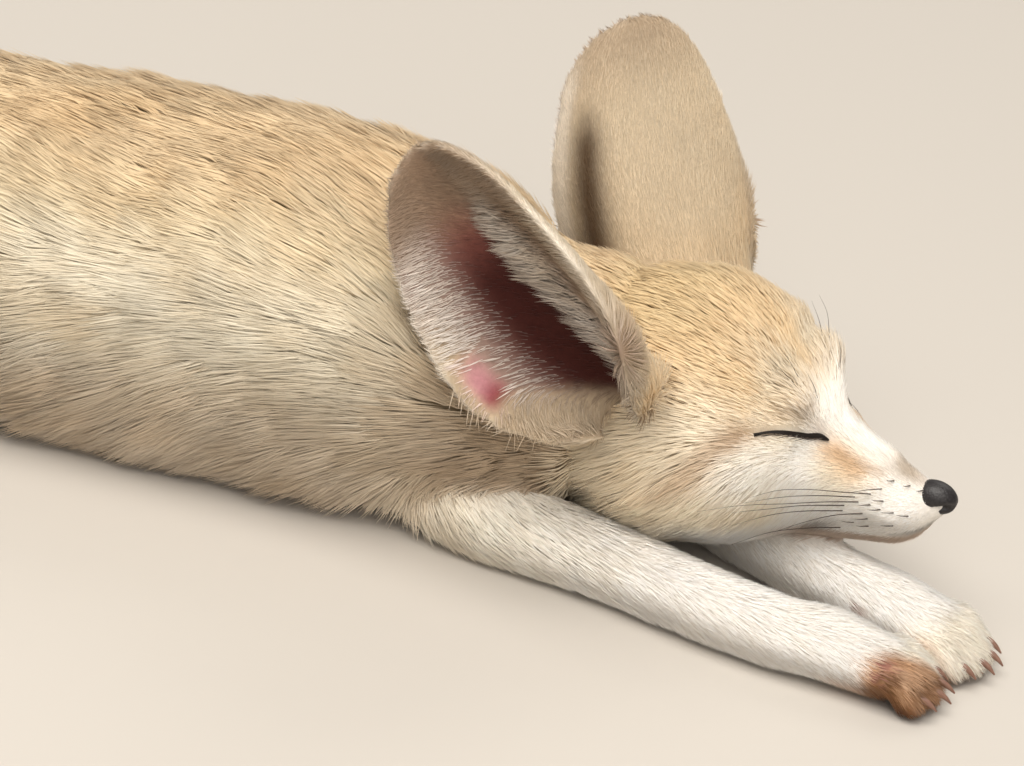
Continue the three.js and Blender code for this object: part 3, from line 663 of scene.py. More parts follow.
def paw_colours(c, p):
    x, y, z = p.T
    rolled = smooth_step(5.5 + 0.5 * (x + 4) - y, -3, 3) * smooth_step(x, -19, -9) * (y < 16) * (z < 20)
    patchy = 0.5 + 0.5 * np.sin(x * 1.1 + z * 0.9) * np.sin(z * 1.3 - y * 0.7 + 1)
    layers = [
        ("toe", rolled * (0.75 + 0.2 * patchy)),
        ("sole", rolled * (smooth_step(9 - z, 0, 6) * 0.75 + 0.15 * patchy)),
    ]
    # Each crease between the toes is painted as a dark line of shade.
    for crease_shadow in CREASES:
        line = along_curve(crease_shadow, np.linspace(0, 1, 24))
        near_line = np.min([np.sum((p - at) ** 2, axis=1) for at in line], axis=0)
        layers.append(("crease_shadow", np.exp(-near_line / 1.8) * 0.9))
    return layered(c, [*layers, ("pad", pad_share(p))])


def toe_coat(t, angle, p):
    low = -np.sin(angle)
    c = layered(COLOURS["white"], [
        ("cream", np.full(len(t), 0.6)),
        ("toe", smooth_step(low, -0.45, 0.4)),
        ("sole", smooth_step(low, 0.0, 0.6) * 0.9),
    ])
    return {"way": 1.0, "long": 3.6, "lift": 0.9, "wide": 0.36, "dense": 3.4, "colour": c}


def tail_coat(t, angle, p):
    up = np.sin(angle)
    c = layered(COLOURS["tail"], [
        ("cream", smooth_step(-up, 0.1, 0.8) * 0.6),
        ("tail_dark", bell(t, 0.13, 0.05) * smooth_step(up, 0.1, 0.8) * 0.85),
        ("tail_tip", smooth_step(t, 0.80, 0.90)),
    ])
    return {"way": 1.0, "droop": 0.15, "long": 20, "lift": 6.0, "wide": 0.56, "dense": 1.4, "colour": c}


def head_coat(t, angle, p):
    up = np.sin(angle)
    cheek = smooth_step(t, 0.5, 0.8) * fading(up, 0.0, 0.6)
    brow = blob(in_head(p), (-42, 11, 24), (8, 7, 8))
    long = ramp(t, [(0, 1.6), (0.2, 2.6), (0.4, 4), (0.6, 5.6), (0.8, 8), (1, 11)]) + cheek * 5 + brow * 3
    lift = ramp(t, [(0, 0.35), (0.3, 0.6), (0.5, 1.2), (0.7, 2.2), (1, 3.4)]) + cheek * 0.8 + brow * 2
    droop = ramp(up, [(-1, 0.1), (-0.4, 0.9), (0.15, 1.2), (0.5, 0.2), (1, 0)]) * smooth_step(t, 0.2, 0.42)
    return {
        "way": 1.0, "droop": droop, "long": long, "lift": lift,
        "wide": ramp(t, [(0, 0.3), (0.4, 0.34), (0.7, 0.42), (1, 0.48)]),
        "dense": ramp(t, [(0, 8), (0.35, 7), (0.6, 4.6), (0.8, 2.4), (1, 2.0)]), "colour": face_colours(p),
    }


# The ear in its own measure: t from root to tip, v from the front margin (-1) to the rear one (+1). A pocket
# of bare skin sits at the foot of the rear margin. A fringe on the front wall hangs over the deep of the cup.
POCKET_T, POCKET_V = 0.33, 0.77


def round_pocket(t, v, middle, reach):
    return np.exp(-(((t - POCKET_T) / 0.09) ** 4) - ((v - middle) / reach) ** 4)


def ear_coat(t, angle, p):
    v = np.sign(np.cos(angle)) * np.abs(np.cos(angle)) ** EarForm.MARGIN_POWER
    inner = smooth_step(-np.sin(angle), -0.1, 0.25)
    rim = smooth_step(np.abs(v), 0.9, 1.0)
    front = fading(v, -0.4, -0.15)
    rear = smooth_step(v, 0.2, 0.6)
    by_tip = smooth_step(t, 0.66, 0.84)
    pocket = inner * round_pocket(t, v, POCKET_V, 0.12)
    low_edge = 0.1 + 2.2 * t
    foot = inner * smooth_step(v, low_edge - 0.08, low_edge + 0.08) * fading(t, 0.25, 0.29)
    flap = inner * smooth_step(v, 0.87, 0.93) * smooth_step(t, 0.25, 0.29) * fading(t, 0.4, 0.46)
    foot = np.maximum(foot, flap)
    outer_colour = layered(COLOURS["ear_back"], [
        ("gold", fading(t, 0.1, 0.5) * 0.4),
        ("ear_grey", smooth_step(t, 0.7, 1) * 0.6),
        ("ear_hair", smooth_step(v, 0.74, 0.82) * smooth_step(t, 0.25, 0.4) * fading(t, 0.8, 0.95) * 0.7),
        # Painted shadow of a groove along the back of the ear, near its rear margin.
        ("ear_groove_shadow", bell(v, 0.6, 0.13) * smooth_step(t, 0.05, 0.2) * fading(t, 0.64, 0.82)),
    ])
    inner_colour = layered(COLOURS["ear_mauve"], [
        ("ear_skin", smooth_step(0.5 - np.abs(v - 0.1), 0, 0.5) * 0.8),
        # Painted shade deep in the cup, behind the fringe of the front wall.
        ("ear_cup_shade", smooth_step(v, -0.45, -0.2) * fading(v, 0.25, 0.6) * fading(t, 0.52, 0.78)),
        ("ear_pale", smooth_step(v, 0.35, 0.75) * 0.4),
        ("ear_cream", smooth_step(v, 0.55, 0.95) * fading(t, 0.35, 0.7)),
        ("ear_tan", front),
        ("ear_hair", bell(v, -0.42, 0.13) * 0.65),
        ("ear_back", smooth_step(-v, 0.72, 0.95) * 0.8),
        ("ear_grey", by_tip * 0.9),
    ])
    c = layered(mix(outer_colour, inner_colour, inner), [
        ("ear_hair", rim * 0.6 * (1 - 0.6 * by_tip)),
        ("pocket", pocket),
        ("pocket_deep", pocket * fading(t, POCKET_T - 0.05, POCKET_T + 0.02)),
    ])
    c = mix(c, mix(COLOURS["flank"], COLOURS["shadow_tan"], np.full(len(t), 0.5)), foot)
    pocket_room = inner * round_pocket(t, v, 0.68, 0.2)
    fringe = inner * bell(v, -0.45, 0.18) * fading(t, 0.6, 0.8)
    walls = np.maximum(front, rear)
    long = (1 - inner) * ramp(t, [(0, 8), (0.3, 4), (1, 2.6)])
    long = long + inner * (3.4 + 7.5 * fringe + 3 * walls * (1 - by_tip))
    by_edge = np.maximum(smooth_step(np.abs(v), 0.78, 0.92), smooth_step(t, 0.84, 0.94))
    long = long * (1 - 0.5 * inner * by_edge)
    long = np.where(rim > 0.5, np.minimum(long, 2.2), long)
    lift = 0.6 + inner * (0.3 + 2.4 * fringe + 0.7 * walls) * (1 - rim)
    dense = (1 - inner) * 3.6 + inner * (0.25 + 3 * np.maximum(front, by_tip) + 1.3 * rear * (1 - by_tip))
    open_wall = 1 - foot
    return {
        "way": ((1 - inner) + inner * (0.5 - 0.15 * front + rim)) * open_wall,
        "round": inner * (0.35 + 0.65 * walls) * (1 - 0.8 * rim) * open_wall, "droop": foot,
        "long": long * open_wall + 6 * foot, "lift": lift * open_wall + 1.4 * foot,
        "wide": 0.36 + 0.12 * fringe, "dense": (dense * open_wall + 2.4 * foot) * (1 - pocket_room) ** 2,
        "colour": c,
        "pale": inner * (0.6 * rear + 0.3 * fringe) * (1 - by_tip) * open_wall,
    }


COATS = [(torso, torso_coat, 4), (neck, neck_coat, 4), (tail, tail_coat, 4), (head, head_coat, 2.5)]
COATS += [(form, thigh_coat, 4) for form in thighs.values()]
COATS += [(form, leg_coat, 3) for form in [*legs.values(), *feet.values()]]
COATS += [(form, toe_coat, 1.5) for form in paw_toes]
COATS += [(form, ear_coat, 1.5) for form in ears.values()]
FIELDS = ("long", "lift", "wide", "dense", "pale")
NUDGE = 0.01
EAR_ROUND = 22
LEAST_SLOPE = 0.35


def sampled(form, coat, step):
    """Places over a form with the lie, size and colour of their hair."""
    is_ear = form.name[:3] == "ear"
    line = np.array((form.root, form.root + form.axis * form.LENGTH)) if is_ear else form.centres
    length = np.sum(np.linalg.norm(np.diff(line, axis=0), axis=1))
    round_about = 2 * np.pi * (EAR_ROUND if is_ear else np.max(form.sizes[:, 0]))
    across, down = max(12, int(round_about / step)), max(8, int(length / step))
    turns = np.arange(across) * 2 * np.pi / across
    t, angle = (grid.ravel() for grid in np.meshgrid(np.linspace(0.002, 0.998, down), turns, indexing="ij"))
    grow = form.inset(t)
    p = form.surface(t, angle, grow)
    later, earlier = np.minimum(t + NUDGE, 0.999), np.maximum(t - NUDGE, 0.001)
    way = form.surface(later, angle, form.inset(later)) - form.surface(earlier, angle, form.inset(earlier))
    way = unit(way)
    turning = unit(form.surface(t, angle + NUDGE, grow) - form.surface(t, angle - NUDGE, grow))
    made = coat(t, angle, p)
    if is_ear:
        turning = turning * np.sign(np.sum(turning * form.side, axis=1))[:, None]
    outward = form.surface(t, angle, grow + 0.5) - p
    outward = outward / np.maximum(np.linalg.norm(outward, axis=1)[:, None], 1e-3)
    normal = unit(np.cross(way, turning))
    fall = np.array((0.0, 0.0, -1.0)) - normal * -normal[:, 2][:, None]
    fall = fall / np.maximum(np.linalg.norm(fall, axis=1)[:, None], LEAST_SLOPE)

    def column(key):
        return (np.zeros(len(t)) + made.get(key, 0.0))[:, None]

    lie = unit(way * column("way") + turning * column("round") + fall * column("droop"))
    return p, lie, np.column_stack([column(key) for key in FIELDS]), made["colour"], outward


def grown_tree(places):
    """A search tree over places, numbered in their order."""
    made = KDTree(len(places))
    for i, at in enumerate(places):
        made.insert(at, i)
    made.balance()
    return made


gathered = [sampled(*each) for each in COATS]
sample_at, sample_lie, sample_values, sample_colour, sample_outward = map(np.vstack, zip(*gathered))
sample_form = np.concatenate([np.full(len(each[0]), i) for i, each in enumerate(gathered)])
tree = grown_tree(sample_at)
points = coordinates(skin) * 1000 + MIDDLE
normals = read_out(skin.data.vertex_normals, "vector")
near = np.array([[(hit[1], hit[2]) for hit in tree.find_n(at, 8)] for at in points])
near_index = near[:, :, 0].astype(int)
same_side = np.clip(np.einsum("ijk,ik->ij", sample_outward[near_index], normals), 0.04, 1)
weight = same_side / (near[:, :, 1] + 0.8) ** 2
weight = weight / weight.sum(axis=1)[:, None]
skin_lie, skin_values, skin_colour = (
    np.einsum("ij,ijk->ik", weight, field[near_index]) for field in (sample_lie, sample_values, sample_colour)
)
HEAD_FORM = [form is head for form, _, _ in COATS].index(True)
EAR_FORMS = [i for i, (form, _, _) in enumerate(COATS) if form.name[:3] == "ear"]
skin_headed = np.sum(weight * (sample_form[near_index] == HEAD_FORM), axis=1)
skin_eared = np.sum(weight * np.isin(sample_form[near_index], EAR_FORMS), axis=1)
skin_form = sample_form[near_index[:, 0]]
skin_colour = mix(skin_colour, face_colours(points), skin_headed * (1 - skin_eared))
skin_colour = paw_colours(skin_colour, points)


def in_cups(at, past_wall):
    """Where flesh of the head or neck shows inside the cup of an ear, or comes near its wall."""
    shares = []
    for ear in ears.values():
        q = at - ear.root
        t = q @ ear.axis / ear.LENGTH
        within = np.clip(t, 0, 1)
        middle = smooth_ramp(within, ear.ARC) / np.radians(smooth_ramp(within, ear.CURL))
        towards = middle + ear.ARCH * t**2 - q @ ear.facing
        aside = q @ ear.side - ear.SWEEP * np.sin(within * np.pi)
        gone_in = middle + past_wall - np.hypot(towards, aside)
        shares.append(smooth_step(gone_in, 0, 1) * smooth_step(towards, 0, 4) * (t > 0) * (t < 0.9))
    return np.maximum(*shares)


HALF_WALL = 1.6
cupped = in_cups(points, -HALF_WALL) * (1 - skin_eared)
by_wall = in_cups(points, HALF_WALL) * fading(skin_eared, 0.6, 0.9)
# Flesh of the head or neck seen inside an ear's cup is painted in the cup's shade.
skin_colour = mix(skin_colour, COLOURS["ear_cup_shade"], cupped)

# At the front foot of each ear the hair radiates from a whorl.
WHORL_AT, WHORL_REACH = 0.27, 15.0
WHORL_LONG, WHORL_LIFT = 8.5, 2.2
for ear in ears.values():
    spoke = points - ear.surface(np.array([WHORL_AT]), np.array([np.pi]))[0]
    gap = np.linalg.norm(spoke, axis=1)
    share = 0.95 * np.exp(-((gap / WHORL_REACH) ** 2))
    skin_lie = skin_lie * (1 - share)[:, None] + unit(spoke) * share[:, None]
    for field, value in enumerate((WHORL_LONG, WHORL_LIFT)):
        skin_values[:, field] = skin_values[:, field] + (value - skin_values[:, field]) * share * 0.8
    bare_middle = 0.3 * np.exp(-((gap / 4) ** 2))
    skin_colour = layered(skin_colour, [("ear_tan", share * 0.5), ("ear_skin", bare_middle)])


# Skin material
# Thin matt hide that shows only where hair is short. Between the tufts it has their colour, a little darker
# as painted shade, with streaks of underfur about a millimetre apart, coarser than real ones so that they
# show.
def node(tree_of, kind, settings=(), links=(), values=()):
    """Adds one shader node with its settings, its unlinked values and the links into it."""
    made = tree_of.nodes.new(kind)
    for key, value in dict(settings).items():
        setattr(made, key, value)
    for key, value in dict(values).items():
        made.inputs[key].default_value = value
    for key, source in dict(links).items():
        tree_of.links.new(source, made.inputs[key])
    return made


def new_material(name, roughness, specular=0.3, sheen=0.0):
    material = bpy.data.materials.new(name)
    material.use_nodes = True
    shader = material.node_tree.nodes["Principled BSDF"]
    shader.inputs["Roughness"].default_value = roughness
    shader.inputs["Specular IOR Level"].default_value = specular
    if sheen:
        shader.inputs["Sheen Weight"].default_value = sheen
        shader.inputs["Sheen Roughness"].default_value = 0.5
    return material, material.node_tree, shader


hide, hide_tree, hide_shader = new_material("hide_with_underfur", roughness=0.75, specular=0.2)
hide_paint = node(hide_tree, "ShaderNodeVertexColor", {"layer_name": "coat"})
hide_place = node(hide_tree, "ShaderNodeTexCoord")
hide_streak = node(
    hide_tree, "ShaderNodeTexNoise", links={"Vector": hide_place.outputs["Object"]},
    values={"Scale": 900.0, "Detail": 3.0, "Roughness": 0.6},
)
hide_shade = node(
    hide_tree, "ShaderNodeMapRange", links={"Value": hide_streak.outputs["Fac"]},
    values={"From Min": 0.3, "From Max": 0.7, "To Min": 0.85, "To Max": 1.0},
)
hide_colour = node(
    hide_tree, "ShaderNodeVectorMath", {"operation": "SCALE"},
    {"Vector": hide_paint.outputs["Color"], "Scale": hide_shade.outputs["Result"]},
)
hide_bump = node(
    hide_tree, "ShaderNodeBump", links={"Height": hide_streak.outputs["Fac"]},
    values={"Strength": 0.5, "Distance": 0.0004},
)
hide_tree.links.new(hide_colour.outputs["Vector"], hide_shader.inputs["Base Color"])
hide_tree.links.new(hide_bump.outputs["Normal"], hide_shader.inputs["Normal"])


def paint(piece, colours):
    layer = piece.data.color_attributes.new("coat", "FLOAT_COLOR", "POINT")
    layer.data.foreach_set("color", np.column_stack([colours, np.ones(len(colours))]).ravel())


# Painted shade: under long hair little light comes, and what comes is warm, so the skin there is darker.
ROOT_SHADE = np.array((0.82, 0.73, 0.6))
under_long = (0.3 + 0.7 * smooth_step(skin_values[:, 0], 3, 14))[:, None]
paint(skin, skin_colour * (1 - under_long * (1 - ROOT_SHADE)))
skin.data.materials.clear()
skin.data.materials.append(hide)
pick(skin)
skin.data.uv_layers.new(name="OFBake")
bpy.ops.object.mode_set(mode="EDIT")
bpy.ops.mesh.select_all(action="SELECT")
bpy.ops.uv.smart_project(angle_limit=math.radians(75), island_margin=0.0005)
bpy.ops.object.mode_set(mode="OBJECT")
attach(skin, "root")
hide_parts(*[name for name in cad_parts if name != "nose" and name[:3] != "eye"])


# Coat
# Hundreds of thousands of thin tufts of hair, three-sided and tapering, rooted in the skin. Long ones lift
# off it and bend back along the lie, short ones are straight. Neighbours lean together into locks.
FLAT = np.array((1, 0.35, 1))
LID_LINE = np.array(SLIT_POINTS) * FLAT
BELLY_BELOW = 1.6
chance = np.random.default_rng(11)
skin.data.calc_loop_triangles()
triangles = read_out(skin.data.loop_triangles, "vertices", kind=np.int64)
triangle_loops = read_out(skin.data.loop_triangles, "loops", kind=np.int64)
skin_uv = read_out(skin.data.uv_layers["OFBake"].data, "uv", width=2)
corners = points[triangles]
areas = np.linalg.norm(np.cross(corners[:, 1] - corners[:, 0], corners[:, 2] - corners[:, 0]), axis=1) / 2
face_points = in_head(points)
bare = (points[:, 2] < BELLY_BELOW) & (normals[:, 2] < -0.5)
slit_clear = line_share(face_points * FLAT, LID_LINE, 2.0)
nose_clear = smooth_step(face_points[:, 0], -8, -6) * skin_headed
mouth_clear = 0.9 * line_share(face_points, MOUTH_POINTS, 0.9)
clear = np.maximum.reduce([slit_clear, nose_clear, mouth_clear, by_wall, pad_share(points)])
growth = skin_values[:, 3] * (1 - bare) * (1 - clear)
by_eye = line_share(face_points, SLIT_POINTS, 4.2)
skin_values[:, 0] *= 1 - 0.5 * by_eye
skin_values[:, 1] *= 1 - 0.7 * by_eye
expected = areas * growth[triangles].mean(axis=1)
count = np.floor(expected + chance.random(len(expected))).astype(int)
owner = np.repeat(np.arange(len(triangles)), count)
share = chance.dirichlet((1, 1, 1), len(owner))


def spread(per_vertex):
    """Reads a field of the skin's vertices at the roots of the tufts."""
    return np.einsum("ij,ij...->i...", share, per_vertex[triangles[owner]])


root = spread(points)
out = unit(spread(normals))
lie = spread(skin_lie)
lie = unit(lie - out * np.sum(lie * out, axis=1)[:, None])
long, lift, wide, _, pale = spread(skin_values).T
headed, eared = spread(skin_headed), spread(skin_eared)
colour = mix(spread(skin_colour), face_colours(root), headed * (1 - eared) * (1 - spread(cupped)))
root_uv = np.einsum("ij,ijk->ik", share, skin_uv[triangle_loops[owner]])
colour = mix(colour, COLOURS["ear_hair"], pale)
form_of = skin_form[triangles[owner, 0]]
total = len(root)


def wander(p, reach, seed):
    """Smooth noise from about -1 to 1 over space, as a sum of slow waves."""
    draws = np.random.default_rng(seed)
    value = np.zeros(len(p))
    for _ in range(8):
        way = draws.normal(size=3)
        way = way / np.linalg.norm(way) * 2 * np.pi / (reach * draws.uniform(0.7, 1.5))
        value += np.sin(p @ way + draws.uniform(0, 2 * np.pi))
    return value / 4


def nearest_in(tree_of, places):
    return np.array([tree_of.find(at)[1] for at in places])


# Locks: each tuft leans to the middle one of its neighbourhood, long hair more than short.
LOCK_REACH = np.clip(long * 0.24, 0.8, 4.2)
middle_share = np.clip(1.0 / (LOCK_REACH**2 * 2.2 * np.maximum(spread(growth), 0.5)), 0.01, 0.5)
middle_index = np.nonzero(chance.random(total) < middle_share)[0]
leader = middle_index[nearest_in(grown_tree(root[middle_index]), root)]

BENT_FROM = 7.0
ROOT_DEPTH = 0.4
BEND_FLOOR, TIP_FLOOR = 1.0, 0.7
BEND_ALONG, BEND_UP = 0.42, 0.66
shaggy = smooth_step(long, 4, 13)
length_draw = 1 + chance.normal(0, 0.15, total) + 0.09 * chance.normal(0, 1, total)[leader] * shaggy
long = long * np.clip(length_draw, 0.6, 1.45)
lift_draw = 0.13 * chance.normal(0, 1, total)[leader] * shaggy + chance.normal(0, 0.14, total)
lift_draw = lift_draw + 0.25 * wander(root, 16, 4)
lift = lift * np.clip(1 + lift_draw, 0.3, 2.0)
across = np.cross(out, lie)
swing = (0.07 * chance.normal(0, 1, total)[leader] + 0.22 * wander(root, 45, 3)) * (0.35 + 0.65 * shaggy)
swing = swing + 0.09 * chance.normal(0, 1, total)
lie = unit(lie * np.cos(swing)[:, None] + across * np.sin(swing)[:, None])
flat = np.sqrt(np.maximum(long**2 - lift**2, (0.5 * long) ** 2))
bend_at = root + lie * (flat * BEND_ALONG)[:, None] + out * (lift * BEND_UP)[:, None]
tip = root + lie * flat[:, None] + out * lift[:, None]
lean = (0.07 + 0.19 * shaggy)[:, None]
tip = tip + (tip[leader] - tip) * lean
bend_at = bend_at + (bend_at[leader] - bend_at) * lean * 0.45
base = root - out * ROOT_DEPTH
bend_at[:, 2] = np.maximum(bend_at[:, 2], BEND_FLOOR)
tip[:, 2] = np.maximum(tip[:, 2], TIP_FLOOR)

# Hair from behind an ear doesn't come through its wall, and none lies over the lids.
stays = (np.maximum(in_cups(tip, 0.0), in_cups(bend_at, 0.0)) < 0.3) | (eared > 0.75)
for place in (tip, bend_at):
    stays &= line_share(in_head(place) * FLAT, LID_LINE, 1.2) < 0.4

# Each tuft varies in tone with its lock and with the mottling of the back. Its root is darkened with painted
# warm shade.
tone = 1 + (0.05 * chance.normal(0, 1, total)[leader] + 0.05 * wander(root, 14, 5)) * (0.4 + 0.6 * shaggy)
tone = tone + (0.04 + 0.04 * (1 - shaggy)) * chance.normal(0, 1, total)
warm = (0.2 * chance.random(total)[leader] + 0.22 * wander(root, 17, 9)) * (0.3 + 0.7 * shaggy)
warm = warm + 0.1 * chance.random(total)
colour = mix(colour, colour * (0.88, 0.76, 0.60), np.clip(warm, 0, 0.6))
colour = colour * np.clip(tone, 0.75, 1.2)[:, None]
root_colour = colour * (1 - (0.4 + 0.6 * shaggy)[:, None] * (1 - ROOT_SHADE))
tip_colour = np.minimum(colour * 1.07, 0.97)


def rows_of(at, forward, width, thickness):
    """Three corners round a place on each tuft: one to each side and the ridge."""
    forward = unit(forward)
    side = unit(np.cross(out, forward))
    ridge = np.cross(forward, side)
    half = (width / 2)[:, None] * side
    return [at - half, at + half, at + ridge * thickness[:, None]]


# Real hair scatters light from many strands at once, so a tuft is shaded more as the coat under it than as a
# rod, and its underside as the open ends of the coat, which look the way the hair lies.
FOLLOWS_SKIN = 2.0
spread_out = unit(np.cross(out, tip - base))
shade_left = unit(out * FOLLOWS_SKIN - spread_out)
shade_right = unit(out * FOLLOWS_SKIN + spread_out)
shade_under = unit(lie - out * 0.4)

# Past an edge of the skin a tuft is seen from behind as well, so there its own faces count.
under_tip = normals[nearest_in(grown_tree(points), tip)]
over_skin = smooth_step(np.sum(under_tip * out, axis=1), 0.35, 0.8)
stays &= (eared < 0.5) | (over_skin > 0.4)

# The first faces of each kind are its underside. A bent tuft is a spindle that starts and ends in a point.
width = wide * np.clip(1 + chance.normal(0, 0.2, total), 0.5, 1.6)
BENT = {
    "faces": ((1, 2, 4), (2, 1, 0), (3, 1, 4), (2, 3, 4), (1, 3, 0), (3, 2, 0)),
    "under": 2,
    "patch": ((0, -1), (-1, 0), (1, 0), (0, 0), (0, 1)),
    "corners": np.stack([base, *rows_of(bend_at, tip - base, width, width * 0.35), tip], axis=1),
    "colours": np.stack([root_colour, colour, colour, colour, tip_colour], axis=1),
    "shading": np.stack([out, shade_left, shade_right, out, out], axis=1),
    "most": 33000,
}
STRAIGHT = {
    "faces": ((0, 1, 3), (2, 0, 3), (1, 2, 3)),
    "under": 1,
    "patch": ((-1, -1), (1, -1), (0, 0), (0, 1)),
    "corners": np.stack([*rows_of(base, tip - base, width, width * 0.4), tip], axis=1),
    "colours": np.stack([root_colour * 0.5 + colour * 0.5] * 3 + [tip_colour], axis=1),
    "shading": np.stack([shade_left, shade_right, out, out], axis=1),
    "most": 64000,
}
PATCH = 0.0015

# Dry guard hair is matt, with a faint sheen across it. Each tuft carries its own colour from root to tip.
fur, fur_tree, fur_shader = new_material("dry_guard_hair", roughness=0.62, specular=0.2, sheen=0.1)
fur_paint = node(fur_tree, "ShaderNodeVertexColor", {"layer_name": "coat"})
fur_tree.links.new(fur_paint.outputs["Color"], fur_shader.inputs["Base Color"])


def tufts(name, chosen, kind):
    """One coat piece: the chosen tufts as a joined mesh with their colours and bake places."""
    n, per_tuft = len(chosen), kind["corners"].shape[1]
    mesh = bpy.data.meshes.new(name)
    mesh.vertices.add(n * per_tuft)
    mesh.vertices.foreach_set("co", metres(kind["corners"][chosen].reshape(-1, 3)).ravel())
    pattern = np.concatenate([np.ravel(face) for face in kind["faces"]])
    corner = (np.arange(n)[:, None] * per_tuft + pattern[None, :]).ravel()
    faces = n * len(kind["faces"])
    mesh.loops.add(len(corner))
    mesh.loops.foreach_set("vertex_index", corner)
    mesh.polygons.add(faces)
    mesh.polygons.foreach_set("loop_start", np.arange(faces) * 3)
    mesh.polygons.foreach_set("use_smooth", np.ones(faces, dtype=bool))
    mesh.update(calc_edges=True)
    shading = kind["shading"][chosen][:, pattern]
    shading[:, :3 * kind["under"]] = shade_under[chosen][:, None, :]
    triples = kind["corners"][chosen][:, np.array(kind["faces"])]
    own = unit(np.cross(triples[:, :, 1] - triples[:, :, 0], triples[:, :, 2] - triples[:, :, 0]))
    share = over_skin[chosen][:, None, None]
    shading = unit(shading * share + np.repeat(own, 3, axis=1) * (1 - share))
    sharp = mesh.attributes.new("sharp_edge", "BOOLEAN", "EDGE")
    sharp.data.foreach_set("value", np.ones(len(mesh.edges), dtype=bool))
    shade = mesh.attributes.new("custom_normal", "FLOAT_VECTOR", "CORNER")
    shade.data.foreach_set("vector", shading.ravel())
    mesh.update()
    piece = bpy.data.objects.new(name, mesh)
    bpy.context.scene.collection.objects.link(piece)
    layer = mesh.uv_layers.new(name="OFBake")
    places = (root_uv[chosen][:, None, :] + np.array(kind["patch"])[None, :, :] * PATCH).reshape(-1, 2)
    layer.data.foreach_set("uv", np.clip(places[corner], 0, 1).ravel())
    paint(piece, kind["colours"][chosen].reshape(-1, 3))
    mesh.materials.append(fur)
    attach(piece, "root")
    return piece


form_names = [form.name for form, _, _ in COATS]
on_ear = (eared > 0.5) & stays
on_head = (headed > 0.5) & (eared <= 0.5) & stays
elsewhere = stays & ~on_ear & ~on_head
on_tail = elsewhere & (form_of == form_names.index("tail"))
on_legs = elsewhere & np.isin(form_of, [i for i, n in enumerate(form_names) if n[:4] in ("fore", "hind")])
TAIL_TIP_REACH = 58
on_tip = on_tail & (np.linalg.norm(root - tail.centres[-1], axis=1) < TAIL_TIP_REACH)
GROUPS = {
    "coat_ears": (on_ear, "ear_coat"),
    "coat_head": (on_head, "face_coat"),
    "coat_tail": (on_tail & ~on_tip, "body_coat"),
    "coat_tail_tip": (on_tip, "tail_tip_coat"),
    "coat_legs": (on_legs, "leg_coat"),
    "coat_body": (elsewhere & ~on_tail & ~on_legs, "body_coat"),
}
bent = long > BENT_FROM
for group_name, (members, slot_name) in GROUPS.items():
    for kind_name, kind, chosen in (("long", BENT, members & bent), ("short", STRAIGHT, members & ~bent)):
        order = np.nonzero(chosen)[0]
        if not len(order):
            continue
        order = order[np.argsort(root[order, 0])]
        pieces = math.ceil(len(order) / kind["most"])
        for k, part in enumerate(np.array_split(order, pieces)):
            tufts(f"{group_name}_{kind_name}_{k + 1}", part, kind)

# Nose
# Bare black leather with a fine pebble grain, moist, with a comma-shaped nostril to each side.
NOSE_HALF = (6.0, 4.4, 4.4)
NOSTRIL_APART = 2.6
deselect()
bpy.ops.mesh.primitive_uv_sphere_add(segments=64, ring_count=48, radius=1)
nose = bpy.context.object
nose.name = "nose_leather"
q = coordinates(nose)
taper = 1 - 0.14 * np.maximum(0, -q[:, 2]) - 0.12 * q[:, 0]
nose_points = np.column_stack([
    q[:, 0] * NOSE_HALF[0] - NOSE_HALF[0] + 0.4, q[:, 1] * NOSE_HALF[1] * taper, q[:, 2] * NOSE_HALF[2] - 0.9
])
aside, height = np.abs(nose_points[:, 1]), nose_points[:, 2]
pit = np.exp(-(((aside - NOSTRIL_APART) / 1.2) ** 2 + ((height + 1.7) / 1.0) ** 2)) * (q[:, 0] > 0.15)
comma = np.exp(-(((aside - 3.8) / 1.3) ** 2 + ((height + 2.2) / 0.55) ** 2)) * (q[:, 0] > -0.5)
philtrum = np.exp(-((nose_points[:, 1] / 0.35) ** 2)) * (q[:, 0] > 0.3) * (q[:, 2] < 0.2)
inward = np.clip(pit * 1.8 + comma * 0.6 + philtrum * 0.35, 0, 2.0)
nose_points = nose_points - unit(q * (1, 0.5, 0.4)) * inward[:, None]
nose.data.vertices.foreach_set("co", metres(from_head(nose_points)).ravel())
bpy.ops.object.shade_smooth()


def two_tone(name, roughness, specular, kind, values, output, codes, grain=()):
    """A finish between two tones over a pattern on Object coordinates, which may be its relief as well."""
    material, material_tree, shader = new_material(name, roughness, specular)
    place = node(material_tree, "ShaderNodeTexCoord")
    pattern = node(material_tree, kind, links={"Vector": place.outputs["Object"]}, values=values)
    tones = node(material_tree, "ShaderNodeValToRGB", links={"Fac": pattern.outputs[output]})
    for element, code in zip(tones.color_ramp.elements, codes):
        element.color = (*linear(code), 1)
    material_tree.links.new(tones.outputs["Color"], shader.inputs["Base Color"])
    if grain:
        bump = node(material_tree, "ShaderNodeBump", links={"Height": pattern.outputs[output]}, values=grain)
        material_tree.links.new(bump.outputs["Normal"], shader.inputs["Normal"])
    return material


# Moist leather, with pebbles of about half a millimetre that break up its soft shine.
leather = two_tone(
    "moist_nose_leather", roughness=0.42, specular=0.5, kind="ShaderNodeTexVoronoi", values={"Scale": 1900.0},
    output="Distance", codes=("#2C2829", "#141112"), grain={"Strength": 0.35, "Distance": 0.0002},
)
nose.data.materials.append(leather)
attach(nose, "root")
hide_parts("nose")

# Closed lids
# Two dark lid margins pressed together, with lashes that close the line. Each is a slim lens that follows the
# slit over the eyeball, thin at the outer corner and thick before the inner one. The far one lies flatter.
hide_tree_of_faces = BVHTree.FromPolygons(
    [tuple(p) for p in points], [tuple(poly.vertices) for poly in skin.data.polygons]
)
SEEN_FROM = HEAD_BACK[:3, :3] @ -ahead


